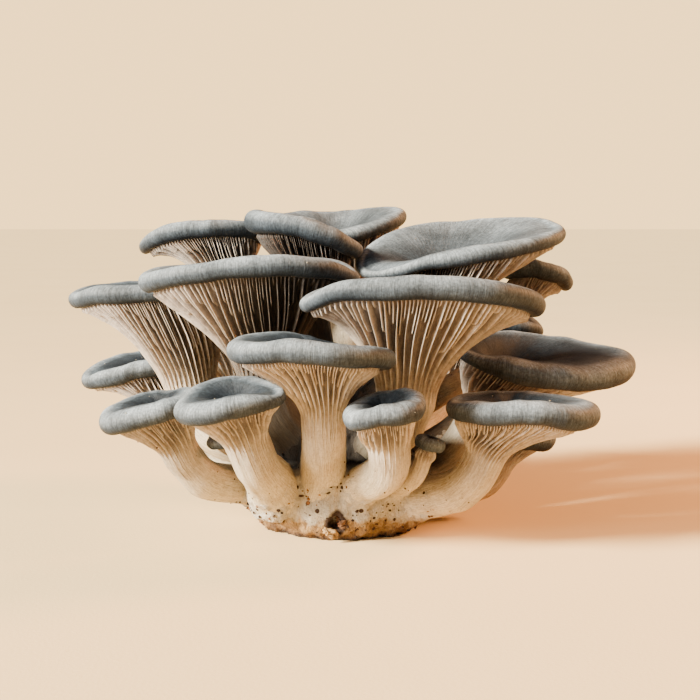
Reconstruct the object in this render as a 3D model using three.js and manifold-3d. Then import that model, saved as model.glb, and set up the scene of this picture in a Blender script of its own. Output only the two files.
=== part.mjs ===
// Oyster mushroom cluster: one butt of grown-together stem bases, standing on its flat foot, that
// carries a crowd of mushrooms. Each mushroom is a stalk, whose stem widens into a trumpet ribbed
// with gills, and a grey cap with a rolled rim that sits on that trumpet.
// Millimetres, +Z up, origin at the centre of the foot.
import * as THREE from "three";
import { mergeVertices } from "three/addons/utils/BufferGeometryUtils.js";
import Module from "manifold-3d";

const wasm = await Module();
wasm.setup();

const TURN = 2 * Math.PI;
const vec = (x, y, z) => new THREE.Vector3(x, y, z);
const mix = (a, b, share) => a + (b - a) * share;

// ---------------------------------------------------------------- driving dimensions
const GAP = 0.35; // air between two pieces that meet
const PIT_SHIFT = 0.6; // how far a cap's hollow follows its off-centre stem
const BOWL_POWER = 1.7; // how early the cap's top turns down towards its hollow
const PIT_FLESH = 0.55; // cap thickness at its lowest point, in rim thicknesses
const GILL_EDGE = 1.0; // depth of the gill layer where it meets the rim
const LIP = { inward: 0.75, drop: 0.42 }; // where the gills meet the rim, in rim thicknesses
const ROLL_TOP = { inward: 1.0, rise: 0.44 }; // where the rolled rim passes into the bowl
const SHOULDER = 0.85; // how high the cap stays inside a rim that hangs down, as a share of the hang
const TIP_OVER = 0.22; // how much a gill turns down at its end for each mm that the rim hangs there
const STEM_BEND = 0.4; // how far a stem's two end directions reach, as a share of its length
const TRUMPET_BEND = 0.36; // the same, for the line of a gill
// The gills are ridges, long ones from the neck to the rim and a short one between each two. How
// far they stand out along that way, and each kind of line, as shares of the grade's gill height.
const GILL_SWELL = [[0, 0.2], [0.3, 0.75], [0.6, 1], [1, 0.7]];
const RIDGE = { long: 1, short: 0.85, valley: -0.15 };

// The rolled rim's outline from the lip's underside to its top, in rim thicknesses.
const OUTLINE = {
  fine: [[0.42, -0.52], [0.05, -0.23], [0.05, 0.22], [0.42, 0.47]],
  coarse: [[0.4, -0.51], [0.02, -0.14], [0.18, 0.36]],
};

// Faces for a mushroom of each grade: sides of the stem (the cap has twice as many), stations
// along the stem, along the gills before and after the short gills join in, and on the bowl.
const GRADES = {
  large: {
    sides: 10, stem: [0, 0.25, 0.6], long: [0, 0.3], short: [0.6, 1], bowl: [0.5],
    outline: OUTLINE.fine, gill: 1.5,
  },
  medium: {
    sides: 8, stem: [0, 0.33, 0.7], long: [0, 0.3], short: [0.6, 1], bowl: [0.5],
    outline: OUTLINE.coarse, gill: 1.1,
  },
  small: {
    sides: 6, stem: [0, 0.5], long: [0], short: [0.45, 1], bowl: [0.5],
    outline: OUTLINE.coarse, gill: 0.8,
  },
};

// cap: middle of the rim. size: half width and half depth. lean: how far the cap's axis tips
// towards +X and +Y for each unit of height. neck: where the gills run out on the stem. root: where
// the stem leaves the butt. rise: how steeply it starts. girth: stem radius at neck and root.
// cup: depth of the hollow below the rim. roll: rim thickness. frill: how far the rim strays from an
// ellipse, as a share of its radius, and from a plane. flare: from 0, gills that run straight down
// to the stem, to 1, gills that start out level. droop: how far the rim's two sides hang below its
// front and back. bends: places where the rim leaves that shape, each with its angle and half its
// width in degrees, how far it is lifted and pushed out there, and the share by which it is slimmer.
// pit: how far the hollow's lowest point is moved towards +X and +Y.
const MUSHROOMS = {
  front: {
    grade: "large", cap: [-7.5, -56, 62.3], size: [23.5, 18], lean: [0.03, 0], cup: 5, roll: 6.2,
    neck: [-4.6, -46, 43], root: [-5.5, -17, 12], rise: 3, girth: [6.2, 7], flare: 0.94, droop: 1,
    frill: [0.03, 0.4], bends: [[58, 38, -8, 0, 0.3], [145, 30, 1.8, 0, 0.2]],
  },
  front_small: {
    grade: "medium", cap: [12.8, -57, 45], size: [12, 11], lean: [-0.12, -0.08], cup: 1.2, roll: 5.8,
    neck: [14.2, -49.5, 34.4], root: [3.8, -17, 12], rise: 1, girth: [6.1, 5.8], flare: 0.75, droop: 0.4,
    frill: [0.03, 0.4], bends: [[15, 45, 2.2, 0, 0.1], [90, 55, 1.4, 0, 0.25]],
  },
  left_curl: {
    grade: "medium", cap: [-31.8, -55, 48], size: [15.2, 13], lean: [-0.2, -0.18], cup: 5, roll: 6,
    neck: [-26.5, -47.5, 35.5], root: [-18.8, -17.5, 12], rise: 1.1, girth: [6.4, 7.4], flare: 0.75,
    droop: 0.5, frill: [0.04, 0.6], pit: [1.2, 1.2],
    bends: [[346, 26, -1.5, 2.8, 0.45], [95, 60, 1, 0, 0.35]],
  },
  left_low: {
    grade: "medium", cap: [-55.6, -38, 43.2], size: [15, 12], lean: [-0.25, -0.16], cup: 2.6, roll: 5.8,
    neck: [-48.5, -28.5, 30], root: [-21, 0, 14], rise: 0.1, girth: [5.6, 6.6], flare: 0.62, droop: 0.6,
    frill: [0.04, 0.6], pit: [0.5, 0.5], bends: [[90, 60, 0, 0, 0.3], [215, 50, 0, 0, -0.15]],
  },
  right_low: {
    grade: "large", cap: [53.5, -40, 43.5], size: [22.3, 16], lean: [0.05, -0.03], cup: 5, roll: 7,
    neck: [43.5, -32.5, 28.5], root: [20, -11, 11], rise: 0.15, girth: [6, 6.6], flare: 0.81, droop: 0.8,
    frill: [0.02, 0.25], pit: [2, 2],
    bends: [[5, 30, 0.3, 0, -0.12], [90, 55, 0.3, 0, 0.45], [182, 24, -0.2, 0, 0.3]],
  },
  centre_right: {
    grade: "large", cap: [24.4, -36, 77.2], size: [35.8, 24], lean: [0.03, 0.09], cup: 12, roll: 6.8,
    neck: [20, -30, 46], root: [10, -8, 20], rise: 2.5, girth: [8.8, 7], flare: 0.38, droop: 1.2,
    frill: [0.03, 0.5], bends: [[358, 20, -2.2, 0, 0.1], [184, 20, -4, -1, 0.4]],
  },
  centre_left: {
    grade: "large", cap: [-27.8, -8, 82.3], size: [34.5, 22], lean: [-0.06, 0.05], cup: 12, roll: 6.2,
    neck: [-23, -9, 49], root: [-8, -6, 22], rise: 1.5, girth: [8.8, 7], flare: 0.31, droop: 0.7,
    frill: [0.03, 0.6], bends: [[356, 16, -3, -1, 0.25], [186, 16, -1, 0, 0], [150, 26, 0.8, 0, 0]],
  },
  left_wide: {
    grade: "large", cap: [-63.5, 22, 73.6], size: [26.5, 17], lean: [0.01, 0.02], cup: 10, roll: 6.2,
    neck: [-49.5, 16.5, 42], root: [-12, 1, 20], rise: 0.3, girth: [8.4, 6.6], flare: 0.5, droop: 0.5,
    frill: [0.03, 0.6], bends: [[188, 20, -1.8, 0, 0.1]],
  },
  left_back: {
    grade: "medium", cap: [-71, 42, 46.5], size: [19.5, 14], lean: [-0.1, -0.08], cup: -1, roll: 6.4,
    neck: [-61, 36, 31], root: [-20, 8, 10], rise: 0.1, girth: [5.2, 5.6], flare: 0.62, droop: 0.6,
    frill: [0.04, 0.6], bends: [[188, 26, -2.6, 0, 0.3]],
  },
  top_left: {
    grade: "large", cap: [-47.5, 42, 94], size: [22.5, 15], lean: [-0.05, 0.03], cup: 5, roll: 6.2,
    neck: [-38, 37, 72], root: [-9, 11, 27], rise: 1, girth: [5.6, 5.4], flare: 0.56, droop: 0.8,
    frill: [0.04, 0.6], bends: [[187, 24, -4.4, 0, 0.25], [0, 30, -2, 0, 0.2]],
  },
  top_middle: {
    grade: "large", cap: [-12.2, 25, 94], size: [21, 15], lean: [0.27, 0.03], cup: 6, roll: 7,
    neck: [-9, 21, 73], root: [-3, 6, 34], rise: 3, girth: [5.8, 5.2], flare: 0.5, droop: 0.8,
    frill: [0.04, 0.6], bends: [[180, 50, 0, 0, -0.1], [0, 40, -0.5, 0, 0.2]],
  },
  top_back: {
    grade: "large", cap: [-3, 61, 95.5], size: [26.5, 16], lean: [-0.08, -0.24], cup: 9, roll: 5,
    neck: [1, 56, 68], root: [1, 13, 29], rise: 0.8, girth: [5.8, 5.4], flare: 0.38, droop: -1.5,
    frill: [0.03, 0.8], bends: [[20, 24, 0.5, 1, 0], [130, 42, 2, 0, 0.3], [60, 40, 0, 0, 0.3]],
  },
  top_right: {
    grade: "large", cap: [39.4, 24, 90], size: [34.5, 21], lean: [-0.17, -0.24], cup: 12, roll: 5.4,
    neck: [31, 23, 60], root: [6, 5, 32], rise: 1.5, girth: [7.4, 5.8], flare: 0.38, droop: 0,
    frill: [0.02, 0.3],
    bends: [[196, 28, -3.6, 0, 0.45], [125, 40, 2.5, 0, 0.3], [60, 60, 0, 0, 0.35], [0, 22, -1.5, 1, 0]],
  },
  top_far_right: {
    grade: "medium", cap: [69, 50, 79.5], size: [13, 12], lean: [0.08, 0.05], cup: 3, roll: 6.4,
    neck: [60, 45, 63], root: [12, 15, 25], rise: 1, girth: [4.2, 4.8], flare: 0.62, droop: 0.6,
    frill: [0.03, 0.5], bends: [[0, 30, -3.2, 0, 0.2]],
  },
  right_back: {
    grade: "medium", cap: [56, 29, 64], size: [13, 10.5], lean: [0.06, -0.1], cup: 3.5, roll: 5.8,
    neck: [50.5, 25.5, 49], root: [18, 5, 17], rise: 0.5, girth: [4.4, 4.8], flare: 0.62, droop: 0.4,
    frill: [0.03, 0.5], bends: [[355, 42, -3, 0, 0.2]],
  },
  right_wide: {
    grade: "large", cap: [66, 0, 54], size: [29, 20], lean: [0.12, -0.24], cup: 8, roll: 7.6,
    neck: [46.5, -1, 36], root: [18, -3, 13], rise: 0.3, girth: [8, 6.4], flare: 0.75, droop: 0,
    frill: [0.03, 0.5], pit: [-4, 3],
    bends: [[195, 32, 0, 1.5, 0.5], [90, 60, 0, 0, 0.5], [350, 50, 0, 0, -0.15]],
  },
  right_tucked: {
    grade: "small", cap: [60.5, 14, 26.5], size: [11, 9], lean: [0.12, -0.05], cup: 1, roll: 6.2,
    neck: [53, 12, 17], root: [22, 6, 9], rise: 0.15, girth: [4, 4.6], flare: 0.62, droop: 0,
    frill: [0.02, 0.3],
  },
  button_right: {
    grade: "small", cap: [26.5, -40, 33.4], size: [4.7, 4.4], lean: [0.3, -0.1], cup: -1.4, roll: 3.7,
    neck: [24.8, -37.5, 28], root: [16, -18, 14], rise: 0.6, girth: [2.5, 3], flare: 0.62, droop: 0,
    frill: [0.02, 0.1],
  },
  button_left: {
    grade: "small", cap: [-35.6, -24, 32], size: [5, 4.8], lean: [-0.35, -0.3], cup: -1.4, roll: 3.4,
    neck: [-32.3, -19.5, 26.8], root: [-19.5, -7, 21.5], rise: 0.25, girth: [2, 2.4], flare: 0.62,
    droop: 0, frill: [0.02, 0.1],
  },
  back_left: {
    grade: "medium", cap: [-43, 63, 55], size: [20, 16], lean: [-0.05, 0.15], cup: 6, roll: 6.2,
    neck: [-37, 55, 38], root: [-11, 15, 18], rise: 0.8, girth: [5.4, 5.6], flare: 0.5, droop: 1,
    frill: [0.05, 0.8], bends: [[120, 34, -3, 0, 0.2], [20, 30, 1, 1, 0]],
  },
  back_middle: {
    grade: "medium", cap: [5, 77, 60], size: [19, 14], lean: [0, 0.12], cup: 5, roll: 6.2,
    neck: [5, 67.5, 42], root: [1, 17, 18], rise: 0.8, girth: [5.4, 5.6], flare: 0.5, droop: 1,
    frill: [0.05, 0.8], bends: [[60, 30, -2.5, 1, 0.2], [160, 30, 1, 0, 0]],
  },
  back_right: {
    grade: "medium", cap: [46, 64, 54], size: [18, 14], lean: [0.05, 0.1], cup: 5, roll: 6.2,
    neck: [39, 56.5, 38], root: [11, 17, 15], rise: 0.8, girth: [5.2, 5.4], flare: 0.5, droop: 1,
    frill: [0.05, 0.8], bends: [[30, 34, -3, 0, 0.2], [130, 30, 0.8, 1, 0]],
  },
  back_low_left: {
    grade: "medium", cap: [-35, 37, 17.5], size: [10, 9], lean: [-0.1, 0.12], cup: 1.5, roll: 4.8,
    neck: [-32, 33.5, 10], root: [-15, 19, 6], rise: 0.25, girth: [4, 4.8], flare: 0.5, droop: 0.6,
    frill: [0.04, 0.4],
  },
  back_low: {
    grade: "medium", cap: [-14, 60, 29], size: [13.5, 12], lean: [0, 0.12], cup: 3, roll: 5.8,
    neck: [-12.5, 53, 17.5], root: [-5, 20, 7], rise: 0.3, girth: [4.8, 5.4], flare: 0.5, droop: 0.6,
    frill: [0.05, 0.6],
  },
  back_low_right: {
    grade: "medium", cap: [18, 56, 20.5], size: [12.5, 11], lean: [0.06, 0.12], cup: 3, roll: 5.6,
    neck: [16.5, 49.5, 12], root: [7, 21, 6.5], rise: 0.2, girth: [4.6, 5.2], flare: 0.5, droop: 0.5,
    frill: [0.05, 0.6],
  },
};

// ---------------------------------------------------------------- closed skins from rings
// Triangles between ring a, of na points from index a on, and ring b. One ring may have twice as
// many points as the other.
function band(a, na, b, nb) {
  const faces = [];
  const n = Math.min(na, nb);
  for (let i = 0; i < n; i += 1) {
    const next = (i + 1) % n;
    if (na === nb) {
      faces.push([a + i, a + next, b + next], [a + i, b + next, b + i]);
    } else if (nb === 2 * na) {
      const between = b + 2 * i + 1;
      faces.push([a + i, between, b + 2 * i]);
      faces.push([a + i, a + next, between], [a + next, b + 2 * next, between]);
    } else {
      const between = a + 2 * i + 1;
      faces.push([a + 2 * i, between, b + i]);
      faces.push([between, b + next, b + i], [between, a + 2 * next, b + next]);
    }
  }
  return faces;
}

// A closed solid whose skin runs from a point through rings of points to another point.
function skinSolid(start, rings, end) {
  const points = [start];
  const firsts = [];
  for (const ring of rings) {
    firsts.push(points.length);
    points.push(...ring);
  }
  points.push(end);
  const faces = [];
  const last = rings.length - 1;
  const lastPoint = points.length - 1;
  rings[0].forEach((_, i) => faces.push([0, firsts[0] + ((i + 1) % rings[0].length), firsts[0] + i]));
  for (let k = 0; k < last; k += 1) {
    faces.push(...band(firsts[k], rings[k].length, firsts[k + 1], rings[k + 1].length));
  }
  rings[last].forEach((_, i) =>
    faces.push([lastPoint, firsts[last] + i, firsts[last] + ((i + 1) % rings[last].length)]));
  return solidOf(points, faces);
}

const signedVolume = (points, faces) =>
  faces.reduce((sum, [a, b, c]) => sum + points[a].dot(points[b].clone().cross(points[c])), 0) / 6;

// A manifold solid from points and triangles, turned to face out.
function solidOf(points, faces) {
  const outward = signedVolume(points, faces) > 0;
  const geometry = new THREE.BufferGeometry().setFromPoints(points);
  geometry.setIndex(faces.flatMap(([a, b, c]) => (outward ? [a, b, c] : [a, c, b])));
  const merged = mergeVertices(geometry, 1e-4);
  return new wasm.Manifold(new wasm.Mesh({
    numProp: 3,
    vertProperties: new Float32Array(merged.attributes.position.array),
    triVerts: new Uint32Array(merged.index.array),
  }));
}

// The largest body of a solid, as a three.js geometry.
function geometryOf(solid) {
  const bodies = solid.decompose().sort((a, b) => b.volume() - a.volume());
  const mesh = bodies[0].getMesh();
  const geometry = new THREE.BufferGeometry();
  geometry.setAttribute("position", new THREE.BufferAttribute(new Float32Array(mesh.vertProperties), 3));
  geometry.setIndex(new THREE.BufferAttribute(new Uint32Array(mesh.triVerts), 1));
  const faceted = geometry.toNonIndexed();
  faceted.computeVertexNormals();
  return faceted;
}

// ---------------------------------------------------------------- the butt
// Radius of the butt at each height: a foot cut flat, a fat skirt, then a mound of fused stems.
const BUTT_PROFILE = [
  [0, 21.5], [1.6, 24], [5, 26.8], [10, 28.4], [15, 27.6], [19.5, 24.5], [25, 19.5], [31, 14.5],
  [37, 9],
];
const BUTT_TOP = 40.5;
const BUTT_DEPTH = 0.98; // front to back over side to side
const BUTT_SIDES = 24;

// How lumpy the butt is in each direction: broad lobes with a finer ripple.
const buttLump = (angle, z) =>
  1 + 0.045 * Math.cos(2 * angle + 0.6) + 0.035 * Math.cos(5 * angle + 1.9 + 0.08 * z) +
  0.02 * Math.cos(9 * angle - 0.15 * z);

// The butt, grown on all sides by a clearance.
function buttSolid(clearance) {
  const rings = BUTT_PROFILE.map(([z, radius], k) =>
    Array.from({ length: BUTT_SIDES }, (_, i) => {
      const angle = (TURN * i) / BUTT_SIDES;
      const reach = radius * buttLump(angle, z) + clearance;
      const height = k === 0 ? z - clearance : z + clearance * (z / BUTT_TOP);
      return vec(reach * Math.cos(angle), BUTT_DEPTH * reach * Math.sin(angle), height);
    }));
  return skinSolid(vec(0, 0, -clearance), rings, vec(0, 0, BUTT_TOP + clearance));
}

// ---------------------------------------------------------------- bits of the wood it grew on
// A ragged hollow low in the butt's front, and the chips of wood held in it and in its flank.
const HOLLOW = { at: [-1, -27.5, 5.4], radii: [3.8, 4.4, 4.4], sides: 12 };
const CHIPS = {
  wood_chip_front: { at: [-2.6, -25.2, 3.2], size: [4.6, 4, 2.2], turn: [18, 12, 24] },
  wood_chip_hollow: { at: [0.6, -24.4, 6.6], size: [2.4, 4.8, 4.2], turn: [30, -20, 12] },
  wood_chip_flank: { at: [-19.5, -18.5, 6], size: [5.2, 3.2, 1.8], turn: [-12, 30, 48] },
};

const hollowSolid = () => wasm.Manifold.sphere(1, HOLLOW.sides).scale(HOLLOW.radii).translate(HOLLOW.at);

// A chip, grown on all sides by a clearance.
const chipSolid = ({ at, size, turn }, clearance) =>
  wasm.Manifold.cube(size.map((side) => side + 2 * clearance), true).rotate(turn).translate(at);

// ---------------------------------------------------------------- one mushroom
// Steady pseudo-random numbers from 0 to 1.
const chance = (seed) => {
  const wide = Math.sin(seed * 12.9898) * 43758.5453;
  return wide - Math.floor(wide);
};

// The cap's own directions and the points that its surfaces hang on.
function setUp(m, seed) {
  const axis = vec(m.lean[0], m.lean[1], 1).normalize();
  const across = vec(1, 0, 0).addScaledVector(axis, -axis.x).normalize();
  const along = axis.clone().cross(across);
  const centre = vec(...m.cap);
  const neck = vec(...m.neck);
  const toNeck = neck.clone().sub(centre);
  const [pitX, pitY] = m.pit ?? [0, 0];
  const pitFoot = centre.clone()
    .addScaledVector(across, toNeck.dot(across) * PIT_SHIFT + pitX)
    .addScaledVector(along, toNeck.dot(along) * PIT_SHIFT + pitY);
  const neckAxis = centre.clone().sub(neck).normalize().add(axis).normalize();
  const phases = [1, 2, 3, 4].map((k) => TURN * chance(seed + 0.37 * k));
  return { ...m, ...GRADES[m.grade], axis, across, along, centre, neck, pitFoot, neckAxis, phases };
}

// A waviness of two and three swells a turn, from -1 to 1.
const twoWaves = (angle, first, second) =>
  0.6 * Math.cos(2 * angle + first) + 0.4 * Math.cos(3 * angle + second);

// How far the rim is lifted, pushed out and slimmed by its bends, at an angle round the cap.
function bendsOf(m, angle) {
  const sums = [0, 0, 0];
  for (const [at, width, ...amounts] of m.bends ?? []) {
    const apart = ((angle * 360) / TURN - at + 900) % 360 - 180;
    const near = Math.exp(-((apart / width) ** 2));
    amounts.forEach((amount, k) => {
      sums[k] += amount * near;
    });
  }
  return sums;
}

// The outermost line of the rim at an angle round the cap, and the direction inwards from it.
function rimAt(m, angle) {
  const [p, q, r, s] = m.phases;
  const [lobes, wave] = m.frill;
  const ellipse = 1 / Math.hypot(Math.cos(angle) / m.size[0], Math.sin(angle) / m.size[1]);
  const [bentUp, bentOut] = bendsOf(m, angle);
  const reach = ellipse * (1 + lobes * twoWaves(angle, p, q)) + bentOut;
  const lift = wave * twoWaves(angle, r, s) - m.droop * Math.cos(2 * angle) + bentUp;
  const edge = m.centre.clone()
    .addScaledVector(m.across, reach * Math.cos(angle))
    .addScaledVector(m.along, reach * Math.sin(angle))
    .addScaledVector(m.axis, lift);
  const inward = m.pitFoot.clone().sub(edge);
  inward.addScaledVector(m.axis, -inward.dot(m.axis)).normalize();
  return { edge, inward };
}

// A point beside the rim, in rim thicknesses inwards and up, then in millimetres inwards and down.
function besideRim(m, angle, inward, rise, inset = 0, below = 0) {
  const rim = rimAt(m, angle);
  const roll = m.roll * (1 - bendsOf(m, angle)[2]);
  return rim.edge
    .addScaledVector(rim.inward, inward * roll + inset)
    .addScaledVector(m.axis, rise * roll - below);
}

// A point on the way from an outer point to the hollow's lowest point: flat at first, then steeper.
// Where the rim hangs down, the way first climbs over a shoulder.
function bowlPoint(m, angle, outer, pit, share) {
  const height = (point) => point.clone().sub(m.centre).dot(m.axis);
  const kept = 1 - (1 - share) ** BOWL_POWER;
  const hang = Math.max(0, -bendsOf(m, angle)[0]);
  const shoulder = SHOULDER * hang * 6.75 * share ** 2 * (1 - share);
  const flat = pit.clone().lerp(outer, share);
  return flat.addScaledVector(m.axis, mix(height(pit), height(outer), kept) + shoulder - height(flat));
}

const pitOf = (m, below) => m.pitFoot.clone().addScaledVector(m.axis, -(m.cup + below));

const ringOf = (count, pointAt) =>
  Array.from({ length: count }, (_, i) => pointAt((TURN * i) / count, i));

// The cap's underside, where the gills hang: below it by a gap is the top of the stalk.
function underside(m, share, below) {
  const pit = pitOf(m, PIT_FLESH * m.roll + below);
  return ringOf(2 * m.sides, (angle) => {
    const outer = besideRim(m, angle, LIP.inward, -LIP.drop, below, below);
    return bowlPoint(m, angle, outer, pit, share);
  });
}

function capSolid(m) {
  const roll = m.outline.map(([inward, rise]) =>
    ringOf(2 * m.sides, (angle) => besideRim(m, angle, inward, rise)));
  const top = [1, ...m.bowl].map((share) =>
    ringOf(2 * m.sides, (angle) =>
      bowlPoint(m, angle, besideRim(m, angle, ROLL_TOP.inward, ROLL_TOP.rise), pitOf(m, 0), share)));
  const below = [...m.bowl].reverse().concat(1).map((share) => underside(m, share, 0));
  return skinSolid(pitOf(m, PIT_FLESH * m.roll), [...below, ...roll, ...top], pitOf(m, 0));
}

// The stem's middle line, from the butt to the neck.
function stemLine(m) {
  const root = vec(...m.root);
  const start = m.neck.clone().sub(root).setZ(0).normalize();
  start.z = m.rise;
  start.normalize();
  const length = root.distanceTo(m.neck);
  return new THREE.CubicBezierCurve3(
    root,
    root.clone().addScaledVector(start, STEM_BEND * length),
    m.neck.clone().addScaledVector(m.neckAxis, -STEM_BEND * length),
    m.neck);
}

// Rings of the stem at given shares of its length, none of them twisted against the cap.
function stemRings(m) {
  const line = stemLine(m);
  const side = m.across.clone();
  const rings = [];
  for (const share of [1, ...[...m.stem].reverse()]) {
    const ahead = line.getTangent(share);
    side.addScaledVector(ahead, -side.dot(ahead)).normalize();
    const other = ahead.clone().cross(side);
    const middle = line.getPoint(share);
    const radius = mix(m.girth[1], m.girth[0], share);
    const here = side.clone();
    rings.unshift(ringOf(m.sides, (angle) => middle.clone()
      .addScaledVector(here, radius * Math.cos(angle))
      .addScaledVector(other, radius * Math.sin(angle))));
  }
  return { rings: rings.slice(0, -1), root: line.getPoint(0) };
}

// A point on the smooth trumpet under the gills: share 0 at the neck, 1 at the rim.
function trumpetPoint(m, angle, share) {
  const side = m.across.clone().addScaledVector(m.neckAxis, -m.across.dot(m.neckAxis)).normalize();
  const other = m.neckAxis.clone().cross(side);
  const start = m.neck.clone()
    .addScaledVector(side, m.girth[0] * Math.cos(angle))
    .addScaledVector(other, m.girth[0] * Math.sin(angle));
  const rim = rimAt(m, angle);
  const end = besideRim(m, angle, LIP.inward, -LIP.drop, GAP, GAP + GILL_EDGE);
  const straight = end.clone().sub(start);
  const reach = straight.length();
  straight.divideScalar(reach);
  const outward = rim.inward.clone().negate();
  const levelling = m.flare * Math.max(0, straight.dot(outward));
  const tipOver = TIP_OVER * Math.min(0, bendsOf(m, angle)[0]);
  const arrive = straight.clone().lerp(outward, levelling).addScaledVector(m.axis, tipOver).normalize();
  return new THREE.CubicBezierCurve3(
    start,
    start.clone().addScaledVector(m.neckAxis, TRUMPET_BEND * reach),
    end.clone().addScaledVector(arrive, -TRUMPET_BEND * reach),
    end).getPoint(share);
}

// A point on the gills; ridge says how far it stands out of the smooth trumpet.
function gillPoint(m, angle, share, ridge) {
  const step = 0.02;
  const base = trumpetPoint(m, angle, share);
  const beyond = trumpetPoint(m, angle, Math.min(1, share + step));
  const ahead = beyond.sub(trumpetPoint(m, angle, share - step));
  const round = trumpetPoint(m, angle + step, share).sub(trumpetPoint(m, angle - step, share));
  const out = round.cross(ahead).normalize();
  const upper = GILL_SWELL.findIndex(([at]) => at >= share) || 1;
  const [[from, low], [to, high]] = [GILL_SWELL[upper - 1], GILL_SWELL[upper]];
  const swell = mix(low, high, (share - from) / (to - from));
  return base.addScaledVector(out, m.gill * swell * ridge);
}

function stalkSolid(m) {
  const stem = stemRings(m);
  const long = m.long.map((share) =>
    ringOf(2 * m.sides, (angle, i) => gillPoint(m, angle, share, i % 2 ? RIDGE.valley : RIDGE.long)));
  const ridgeOf = (i) => (i % 2 ? RIDGE.valley : i % 4 ? RIDGE.short : RIDGE.long);
  const short = m.short.map((share) =>
    ringOf(4 * m.sides, (angle, i) => gillPoint(m, angle, share, ridgeOf(i))));
  const top = [1, ...m.bowl].map((share) => underside(m, share, GAP));
  // From the top down, so that its top is split into the same triangles as the cap's underside.
  const rings = [...stem.rings, ...long, ...short, ...top].reverse();
  return skinSolid(pitOf(m, PIT_FLESH * m.roll + GAP), rings, stem.root);
}

// ---------------------------------------------------------------- the cluster
const COLOURS = {
  cap: { color: 0x7d868c, roughness: 0.5, metalness: 0 },
  stalk: { color: 0xe6d6b8, roughness: 0.75, metalness: 0 },
  butt: { color: 0xece2cf, roughness: 0.85, metalness: 0 },
  wood: { color: 0x6b4423, roughness: 0.9, metalness: 0 },
};
const cluster = new THREE.Group();

function addPiece(name, solid, finish) {
  const mesh = new THREE.Mesh(geometryOf(solid), new THREE.MeshStandardMaterial(COLOURS[finish]));
  mesh.name = name;
  cluster.add(mesh);
}

const pockets = Object.values(CHIPS).map((chip) => chipSolid(chip, GAP));
const hollowed = buttSolid(0).subtract(hollowSolid());
addPiece("butt", pockets.reduce((butt, pocket) => butt.subtract(pocket), hollowed), "butt");
Object.entries(CHIPS).forEach(([name, chip]) => addPiece(name, chipSolid(chip, 0), "wood"));
const buttRoom = buttSolid(GAP);
Object.entries(MUSHROOMS).forEach(([name, mushroom], index) => {
  const m = setUp(mushroom, index + 1);
  addPiece(`stalk_${name}`, stalkSolid(m).subtract(buttRoom), "stalk");
  addPiece(`cap_${name}`, capSolid(m), "cap");
});

export default cluster;
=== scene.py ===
# %% [markdown]
# # An oyster mushroom cluster
# A cluster is a crowd of mushrooms grown from one butt of felted threads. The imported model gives
# every stalk, cap and wood chip as a plain solid with few faces. This lesson dresses each of them:
# it models the surfaces again, fine enough for every gill, and gives them skin, flesh and felt.
# The script works in millimetres, as the model's source does, and turns them into metres last.

import math
from types import SimpleNamespace

import bmesh
import bpy
import numpy as np
from mathutils import Euler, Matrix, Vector


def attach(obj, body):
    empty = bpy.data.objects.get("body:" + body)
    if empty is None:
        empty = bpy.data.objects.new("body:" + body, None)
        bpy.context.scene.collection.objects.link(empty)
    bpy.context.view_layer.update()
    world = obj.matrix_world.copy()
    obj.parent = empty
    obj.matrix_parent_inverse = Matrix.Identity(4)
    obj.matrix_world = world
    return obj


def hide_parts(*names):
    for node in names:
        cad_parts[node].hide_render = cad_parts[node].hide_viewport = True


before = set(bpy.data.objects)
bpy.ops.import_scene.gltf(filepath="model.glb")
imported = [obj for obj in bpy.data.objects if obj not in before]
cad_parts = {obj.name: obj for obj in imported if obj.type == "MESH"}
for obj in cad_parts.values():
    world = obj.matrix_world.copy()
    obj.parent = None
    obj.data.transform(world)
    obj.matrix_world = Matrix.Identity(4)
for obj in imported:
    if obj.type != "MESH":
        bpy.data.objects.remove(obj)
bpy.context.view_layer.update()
print("nodes in the frame:", len(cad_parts))

# %% [markdown]
# ## Objects and meshes
# A mesh holds points and faces, and an object puts it in the scene. A bmesh is the workbench on
# which a mesh is made or changed, and it has to be freed afterwards. These two helpers do the steps
# that come back each time.


# %% Object and mesh helpers
def new_object(name, data):
    """An object in the scene that shows a mesh, a lamp or a camera."""
    item = bpy.data.objects.new(name, data)
    bpy.context.scene.collection.objects.link(item)
    return item


def mesh_from(bm, name):
    """A mesh with what is on a workbench, which is then cleared."""
    mesh = bpy.data.meshes.new(name)
    bm.to_mesh(mesh)
    bm.free()
    return mesh


print("object helpers ready")

# %% [markdown]
# ## The camera
# A long lens stands nearly level with the caps and looks a little down, so that the gills show
# under every rim and the hollow tops show only as slivers. The camera comes first, so that each
# piece made after it can be judged through it.

# %% The camera
FRAME_PIXELS = 700
FOCAL_PIXELS = 1400  # the focal length, counted in pixels of the frame
SENSOR = 36  # mm
LOOK_DOWN = 6  # degrees below the horizon
RAISE_PIXELS = 4  # how far the picture is shifted up
EYE = (0.0032, -0.444, 0.102)  # metres

camera = new_object("camera", bpy.data.cameras.new("camera"))
camera.data.sensor_width = SENSOR
camera.data.lens = SENSOR * FOCAL_PIXELS / FRAME_PIXELS
camera.data.shift_y = RAISE_PIXELS / FRAME_PIXELS
camera.data.clip_start = 0.01
camera.location = EYE
camera.rotation_euler = (math.radians(90 - LOOK_DOWN), 0, 0)
bpy.context.scene.camera = camera
print("lens", camera.data.lens, "mm")

# %% [markdown]
# ## Building materials from nodes
# A material is a tree of nodes. Writing each node out takes three or four lines, so one helper
# makes a node, sets its properties and fills its inputs, either with a number or with a link from
# another node's output.

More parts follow.
